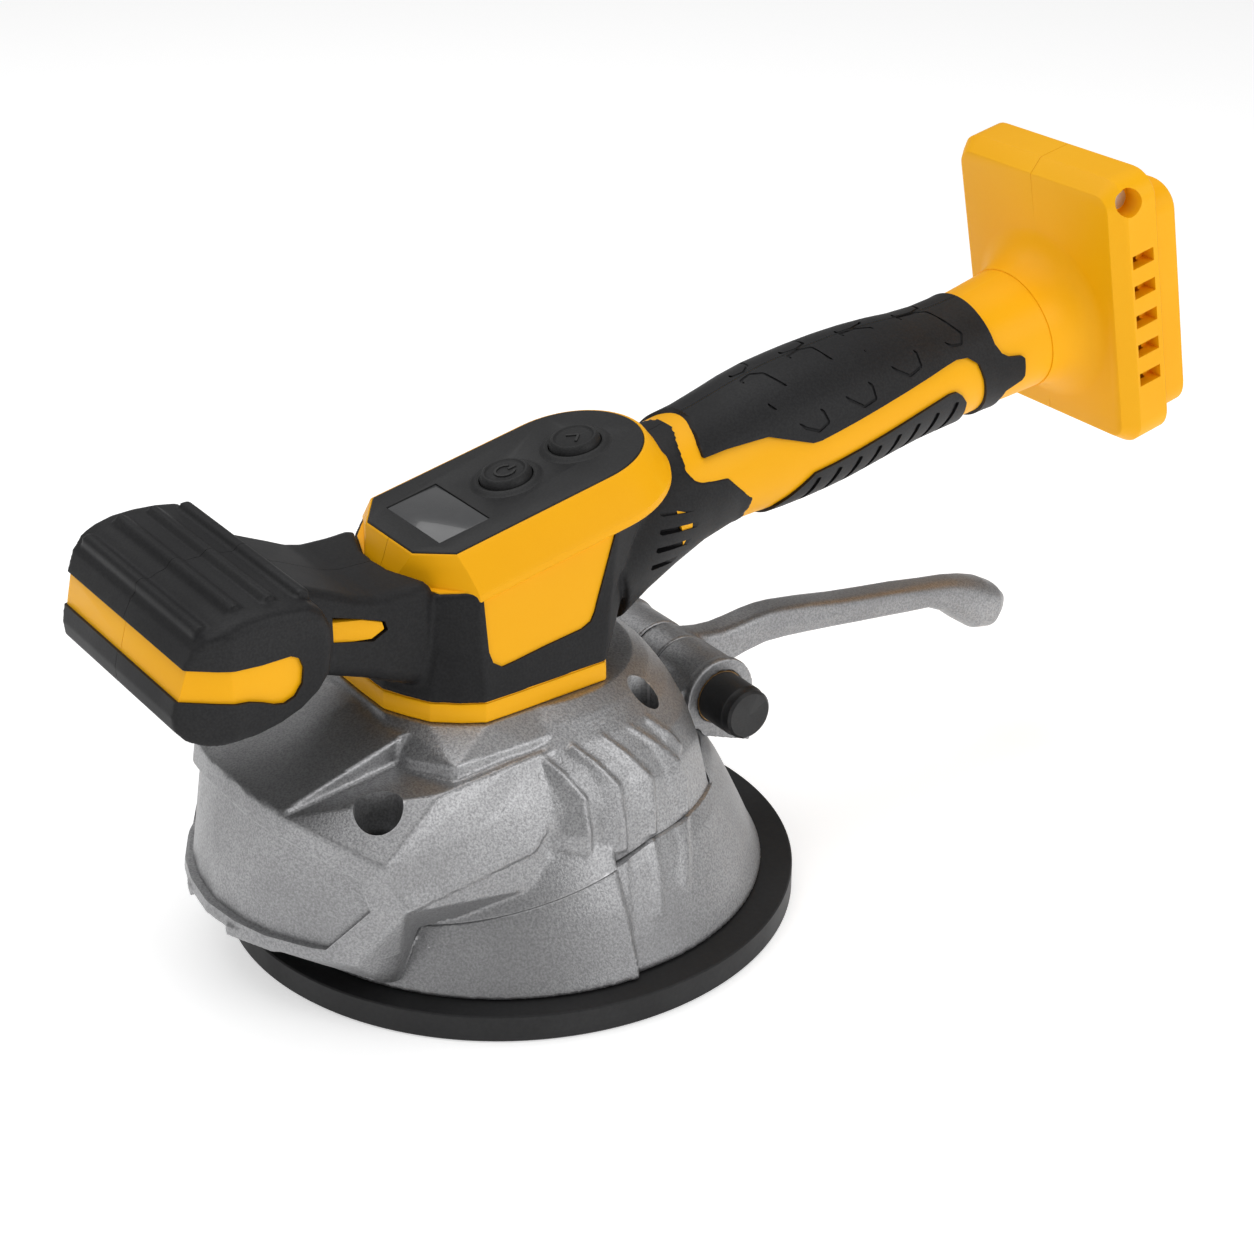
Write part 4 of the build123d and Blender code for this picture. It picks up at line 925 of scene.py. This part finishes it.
def grip_solid(shrink, half_w=42.0):
    """The palm grip less a skin, its front corners cut off and its ends rounded."""
    middle_y, middle_z = -100.0, 118.5

    def inset(y, z, by):
        away = Vector((y - middle_y, z - middle_z))
        away -= away.normalized() * by
        return middle_y + away.x, middle_z + away.y

    rings = []
    for x, by in ((-half_w, 3.2), (-half_w + 0.9, 1.3), (-half_w + 2.6, 0.25), (-half_w + 5, 0),
                  (half_w - 5, 0), (half_w - 2.6, 0.25), (half_w - 0.9, 1.3), (half_w, 3.2)):
        x -= math.copysign(shrink, x)
        rings.append([at(x, *inset(y, z, by + shrink)) for y, z in GRIP_SIDE])
    bar = ring_stack(rings)
    for sign in (1, -1):
        corner = hull([(sign * (33.5 - shrink / 2), -126, 80), (sign * (42.3 - shrink), -107.5, 80),
                       (sign * 60, -107.5, 80), (sign * 60, -126, 80), (sign * (33.5 - shrink / 2), -126, 150),
                       (sign * (42.3 - shrink), -107.5, 150), (sign * 60, -107.5, 150), (sign * 60, -126, 150)])
        combine(bar, [corner], "DIFFERENCE")
    return bar


stripe_line = [(-135, 116.6), (-123, 115.4), (-112, 113.6), (-104, 112.6), (-100, 111.2), (-97, 109.8), (-94.2, 109.2),
               (-91, 110.4), (-88.6, 113.6), (-88.0, 118), (-89, 121.2), (-91.5, 122.6), (-100, 122.4), (-112, 123.2),
               (-123, 124.8), (-135, 125.6)]
grip = grip_solid(0)
ribs = []
for y, z in ((-113.2, 132.2), (-103.2, 135.6), (-93.2, 135.6), (-83.4, 134.6)):
    rib = drill(2.2, (-35, y, z + 0.2), (35, y, z + 0.2), 24)
    ribs.append(rib)
grip = fuse([grip] + ribs, 0.7, 1)
grip_core = grip_solid(1.0)
for tool in (grip_solid(2.6), *side_slab(stripe_line, 60, 0, at)):
    combine(grip, [tool], "DIFFERENCE")
halves(grip, "palm_grip_skin", soft_black, ["grip_cover"], smooth=60)
combine(grip_core, [grip_solid(3.6)], "DIFFERENCE")
soften(grip_core, 0.4, 2, 40)
tabs = side_slab([(-76, 119.6), (-60, 116.6), (-53.8, 114.2), (-53.2, 111.8), (-57.4, 109.9), (-76, 112.4)],
                 23.5, 20, at)
for tab in tabs:
    soften(tab, 0.4, 2, 40)
halves(gather([grip_core] + tabs), "palm_grip_core", amber, ["grip_core"], smooth=35)


# ---- rear handle ----------------------------------------------------------------------------------
# Round amber core in two halves from the tower to the collar. A soft black cover lies over the top,
# with short sunk strokes along its finger pads, and a ribbed pad lies along the underside.
handle = ring_stack(handle_rings(0.5, 65, 217))
combine(handle, [ring_stack(handle_rings(3.2, 52, 217))], "DIFFERENCE")
soften(handle, 0.3, 2, 40)
UPPER_COVER = [(86.5, 30), (86.5, -6), (84.3, -7.8), (82.1, -10.8), (81.2, -13.3), (88.9, -14.0), (103.6, -15.5),
               (110.2, -18.9), (117, -22.6), (120, -23.1), (150, -22.8), (178.7, -22.6), (183.3, -23.8),
               (186.7, -27.3), (188.1, -34), (189, -41.8), (190, -60), (196, -60), (196.2, -46), (197.5, -42.2),
               (203.5, -40.4), (204.4, -39), (204.4, -32.4), (203.4, -31.2), (198.9, -29.8), (196.1, -27.4),
               (194.8, -23.9), (195.3, -15.6), (196, -10), (196, 30)]
LOWER_PAD = [(100, -60), (105.2, -41.9), (117, -33.6), (124.5, -33.7), (148.4, -32.9), (172.8, -31.8), (176, -32.4),
             (177.9, -34.3), (180.3, -38.4), (181.5, -60)]
upper = ring_stack(handle_rings(-0.6, 78, 217))
cast(upper, 0.8, 1)
combine(upper, [ring_stack(handle_rings(0.9, 65, 217))], "DIFFERENCE")
combine(upper, side_slab(UPPER_COVER), "INTERSECT")
# Each finger pad's outline, across, along and above the panel. Only parts of it cut into the cover.
PADS = (
    [(2.1, 107.8, -4.6), (1.3, 111.9, -4.4), (3.8, 115.1, -4.5), (10.3, 117.1, -6.7), (19.7, 124.1, -16.1),
     (21.1, 124.5, -19.3), (21.5, 120.2, -20.3), (20.6, 116.2, -17.8), (14.1, 109.1, -9.7), (2.1, 107.8, -4.6)],
    [(1.4, 126.6, -4.5), (0.6, 131.8, -4.8), (1.9, 135.6, -5.2), (8.7, 136.7, -7.1), (18.7, 144.1, -16.2),
     (20.5, 143.6, -20.0), (21.0, 138.6, -20.3), (19.7, 134.4, -16.6), (11.5, 128.0, -8.6), (1.4, 126.6, -4.5)],
    [(0.6, 147.9, -6.3), (0.6, 153.7, -7.1), (2.4, 158.4, -8.1), (14.8, 165.4, -15.6), (17.6, 164.6, -19.0),
     (18.7, 159.1, -19.5), (17.5, 155.2, -16.4), (10.5, 149.0, -9.6), (0.6, 147.9, -6.3)],
    [(0.6, 170.6, -10.3), (0.6, 177.7, -11.8), (1.8, 181.3, -12.4), (9.0, 183.3, -14.8), (13.1, 185.3, -18.0),
     (15.2, 183.1, -20.1), (15.1, 179.3, -19.1), (8.5, 172.0, -13.2), (0.6, 170.6, -10.3)],
)


def scored_line(points, radius=0.55, lift=0.55):
    """A fine round tool along a line on the handle's skin."""
    places = []
    for x, u, v in points:
        middle = Vector((0, 0, -28.0))
        out = (Vector((x, 0, v)) - middle).normalized()
        place = leaning(x + out.x * lift, u, v + out.z * lift) / MM
        places.append(tuple(place))
    return [drill(radius, start, end, 10) for start, end in zip(places, places[1:])]


lines = [tool for pad_line in PADS for tool in scored_line(pad_line)]
scoring = fuse(lines + [mirror_tool(tool) for tool in lines], 0.25)
combine(upper, [scoring], "DIFFERENCE")
halves(upper, "handle_cover_skin", soft_black, ["handle_cover"], smooth=60)

lower = ring_stack(handle_rings(-0.6, 90, 203))
cast(lower, 0.8, 1)
combine(lower, [ring_stack(handle_rings(0.9, 78, 217))], "DIFFERENCE")
combine(lower, side_slab(LOWER_PAD), "INTERSECT")


def groove_tools(line, width=2.0, inner_w=3.0):
    """Tools that cut a straight groove into both flanks of the handle."""
    (u1, v1), (u2, v2) = line
    along = Vector((u2 - u1, v2 - v1)).normalized()
    side = Vector((-along.y, along.x)) * width / 2
    return side_slab([(u1 + side.x, v1 + side.y), (u2 + side.x, v2 + side.y), (u2 - side.x, v2 - side.y),
                      (u1 - side.x, v1 - side.y)], 40, inner_w)


cuts = [tool for index in range(8) for tool in groove_tools(((112 + 8.2 * index, -54), (118.5 + 8.2 * index, -36)))]
ribbing = fuse(cuts, 0.5)
combine(ribbing, [ring_stack(handle_rings(0.3, 78, 217))], "DIFFERENCE")
combine(lower, [ribbing], "DIFFERENCE")
halves(lower, "handle_pad_skin", soft_black, ["handle_pad"], smooth=60)
halves(handle, "handle_tube", amber, ["handle_core"], smooth=35)


# ---- battery mount --------------------------------------------------------------------------------
# Amber moulding in two halves: a flared neck, a thick plate with a chamfered front edge and five
# vents in each flank, and a pocket behind with the rails that the battery slides on.
MOUNT_W = 38.0
FRONT_U, STEP_U, REAR_U = 231.0, 248.4, 257.5


def rounded_ring(half_w, low_v, high_v, radius, u, steps=8):
    """A rounded rectangle square to the handle."""
    points = []
    for sx, sv, start in ((1, 1, 0), (-1, 1, 90), (-1, -1, 180), (1, -1, 270)):
        cx = sx * (half_w - radius)
        cv = (high_v - radius) if sv > 0 else (low_v + radius)
        for step in range(steps + 1):
            turn = math.radians(start + 90 * step / steps)
            points.append(leaning(cx + radius * math.cos(turn), u, cv + radius * math.sin(turn)))
    return points


plate = ring_stack([rounded_ring(MOUNT_W - s, -74 + s, 20 - s, max(9 - s, 3), u) for s, u in
                    ((4.6, FRONT_U), (3.9, FRONT_U + 0.25), (0.5, FRONT_U + 4.4), (0, FRONT_U + 5.2),
                     (0, STEP_U - 0.5), (0.4, STEP_U))])
rear_plate = ring_stack([rounded_ring(MOUNT_W - 0.9 - s, -68 + s, 12.3 - s, 9 - s, u) for s, u in
                         ((0, STEP_U - 2), (0, REAR_U - 0.8), (0.7, REAR_U))])
MOUNT_AXIS_V = -33.5            # the round neck's middle, above the panel


def round_section(radius, u, steps):
    """A circle square to the handle, on the neck's axis."""
    return [leaning(radius * math.cos(2 * math.pi * k / steps), u,
                    MOUNT_AXIS_V + radius * math.sin(2 * math.pi * k / steps)) for k in range(steps)]


FLARE = [(216.4, 20.9), (218, 21.0), (221, 21.6), (224, 22.6), (226.5, 24.0), (228.6, 26.0), (230, 28.2), (231.2, 31.0),
         (233, 31.2)]
flare = ring_stack([round_section(r, u, 64) for u, r in FLARE])
combine(plate, [rear_plate], "UNION")
combine(plate, [flare], "UNION")
LEAD_HOLE_R, NECK_BORE_R = 14.0, 17.8
pockets = [
    ring_stack([rounded_ring(34, -64, 9, 6, u) for u in (FRONT_U + 3, STEP_U - 5.4)]),
    ring_stack([rounded_ring(27, -90, 9, 0.8, u) for u in (STEP_U - 1, REAR_U + 5)]),
    ring_stack([rounded_ring(31, -90, 9, 0.8, u) for u in (STEP_U - 1, STEP_U + 4)]),
    ring_stack([rounded_ring(18.1, -40.1, 6.1, 2, u) for u in (STEP_U - 8, STEP_U + 1)]),
    ring_stack([round_section(LEAD_HOLE_R, u, 48) for u in (241, 260)]),
    ring_stack([round_section(NECK_BORE_R, u, 48) for u in (210, 235)]),
]
VENT_TOP, VENT_PITCH, VENT_TALL = -5, 10.5, 4.6
for index in range(5):
    v = VENT_TOP - VENT_PITCH * index
    pockets += side_slab([(237, v), (246, v), (246, v - VENT_TALL), (237, v - VENT_TALL)], 60, MOUNT_W - 5)
recess = PANEL + ALONG * 238 + ABOVE * 13
for sign in (1, -1):
    pockets.append(drill(4.5, (sign * 31, recess.y, recess.z), (sign * 45, recess.y, recess.z)))
for tool in pockets:
    combine(plate, [tool], "DIFFERENCE")
soften(plate, 0.3, 2, 50)
halves(plate, "battery_plate", amber, ["battery_mount"], smooth=30)


# ---- return spring --------------------------------------------------------------------------------
# Zinc plated coil between the guide boss and the pad plate. It rides up on the stud.
zinc_steel = finish_material("zinc_steel", (0.56, 0.57, 0.58), (0.8, 0.8, 0.8), (0.42, 0.43, 0.44), 0.30, 1.0,
                             grain_scale=800, grain_mix=0.2, edge_highlight=0.3, bump=0.1)
only(frame["nodes"]["stud_spring"])
bpy.ops.object.duplicate()
spring = bpy.context.object
spring.parent = None
for key in list(spring.keys()):
    del spring[key]
only(spring)
bpy.ops.object.mode_set(mode="EDIT")
bpy.ops.mesh.select_all(action="SELECT")
bpy.ops.mesh.remove_doubles(threshold=0.001 * MM)
bpy.ops.object.mode_set(mode="OBJECT")
finish(spring, "pad_return_spring", zinc_steel, body="pull_stud", nodes=["stud_spring"], smooth=40)
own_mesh(spring)


# ---- fixings and inner parts ----------------------------------------------------------------------
# The steel, bronze, copper, plastic and board parts inside keep their own shapes and get their finish.
bronze = finish_material("sintered_bronze", (0.45, 0.27, 0.12), (0.66, 0.44, 0.22), (0.30, 0.17, 0.07), 0.42, 1.0,
                         grain_scale=1800, grain_mix=0.4, bump=0.25)
black_plastic = finish_material("inner_black_plastic", (0.018, 0.018, 0.019), (0.05, 0.05, 0.05),
                                (0.012, 0.012, 0.012), 0.45, grain_scale=1200, grain_mix=0.25)
display_dark = finish_material("display_dark", (0.020, 0.024, 0.026), (0.04, 0.05, 0.05), (0.012, 0.014, 0.015), 0.2,
                               grain_scale=500, grain_mix=0.2, edge_highlight=0.0, bump=0.02)
board_green = finish_material("board_green", (0.02, 0.14, 0.05), (0.10, 0.30, 0.12), (0.01, 0.08, 0.03), 0.35,
                              grain_scale=350, grain_mix=0.35, edge_highlight=0.4, mottle_scale=120, bump=0.1)
can_steel = finish_material("can_steel", (0.48, 0.48, 0.47), (0.7, 0.7, 0.68), (0.36, 0.36, 0.35), 0.34, 1.0,
                            grain_scale=1000, grain_mix=0.25, bump=0.12)
magnet = finish_material("magnet_ferrite", (0.05, 0.05, 0.055), (0.14, 0.14, 0.14), (0.03, 0.03, 0.03), 0.6, 0.2,
                         grain_scale=1500, grain_mix=0.4, bump=0.3)
laminated_iron = finish_material("laminated_iron", (0.30, 0.19, 0.12), (0.55, 0.38, 0.24), (0.18, 0.11, 0.07), 0.45,
                                 0.9, grain_scale=900, grain_mix=0.4, bump=0.3)
lead_sheath = finish_material("lead_sheath", (0.30, 0.01, 0.01), (0.5, 0.05, 0.04), (0.18, 0.005, 0.005), 0.4,
                              grain_scale=900, grain_mix=0.2, bump=0.1)
FINISH_OF_SLOT = {
    "pad_rubber": pad_rubber, "cast_alloy": cast_alloy, "zinc_steel": zinc_steel, "bronze": bronze,
    "black_plastic": black_plastic, "yellow_plastic": amber, "soft_black": soft_black,
    "display_glass": tinted_glass, "display_dark": display_dark, "board_green": board_green,
    "can_steel": can_steel, "magnet": magnet, "laminated_iron": laminated_iron, "lead_sheath": lead_sheath,
}
for row in frame["record"]["subparts"]:
    part = frame["nodes"][row["node"]]
    if not part.hide_render:
        for place in part.material_slots:
            place.material = FINISH_OF_SLOT[row["material_slot"]]
        if not part.material_slots:
            part.data.materials.append(FINISH_OF_SLOT[row["material_slot"]])


# ---- sizes ----------------------------------------------------------------------------------------
# The CAD model's box and the finished model's box, in metres, for comparing.
low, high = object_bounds()
{"cad": [list(cad_low), list(cad_high)], "visual": [list(low), list(high)]}
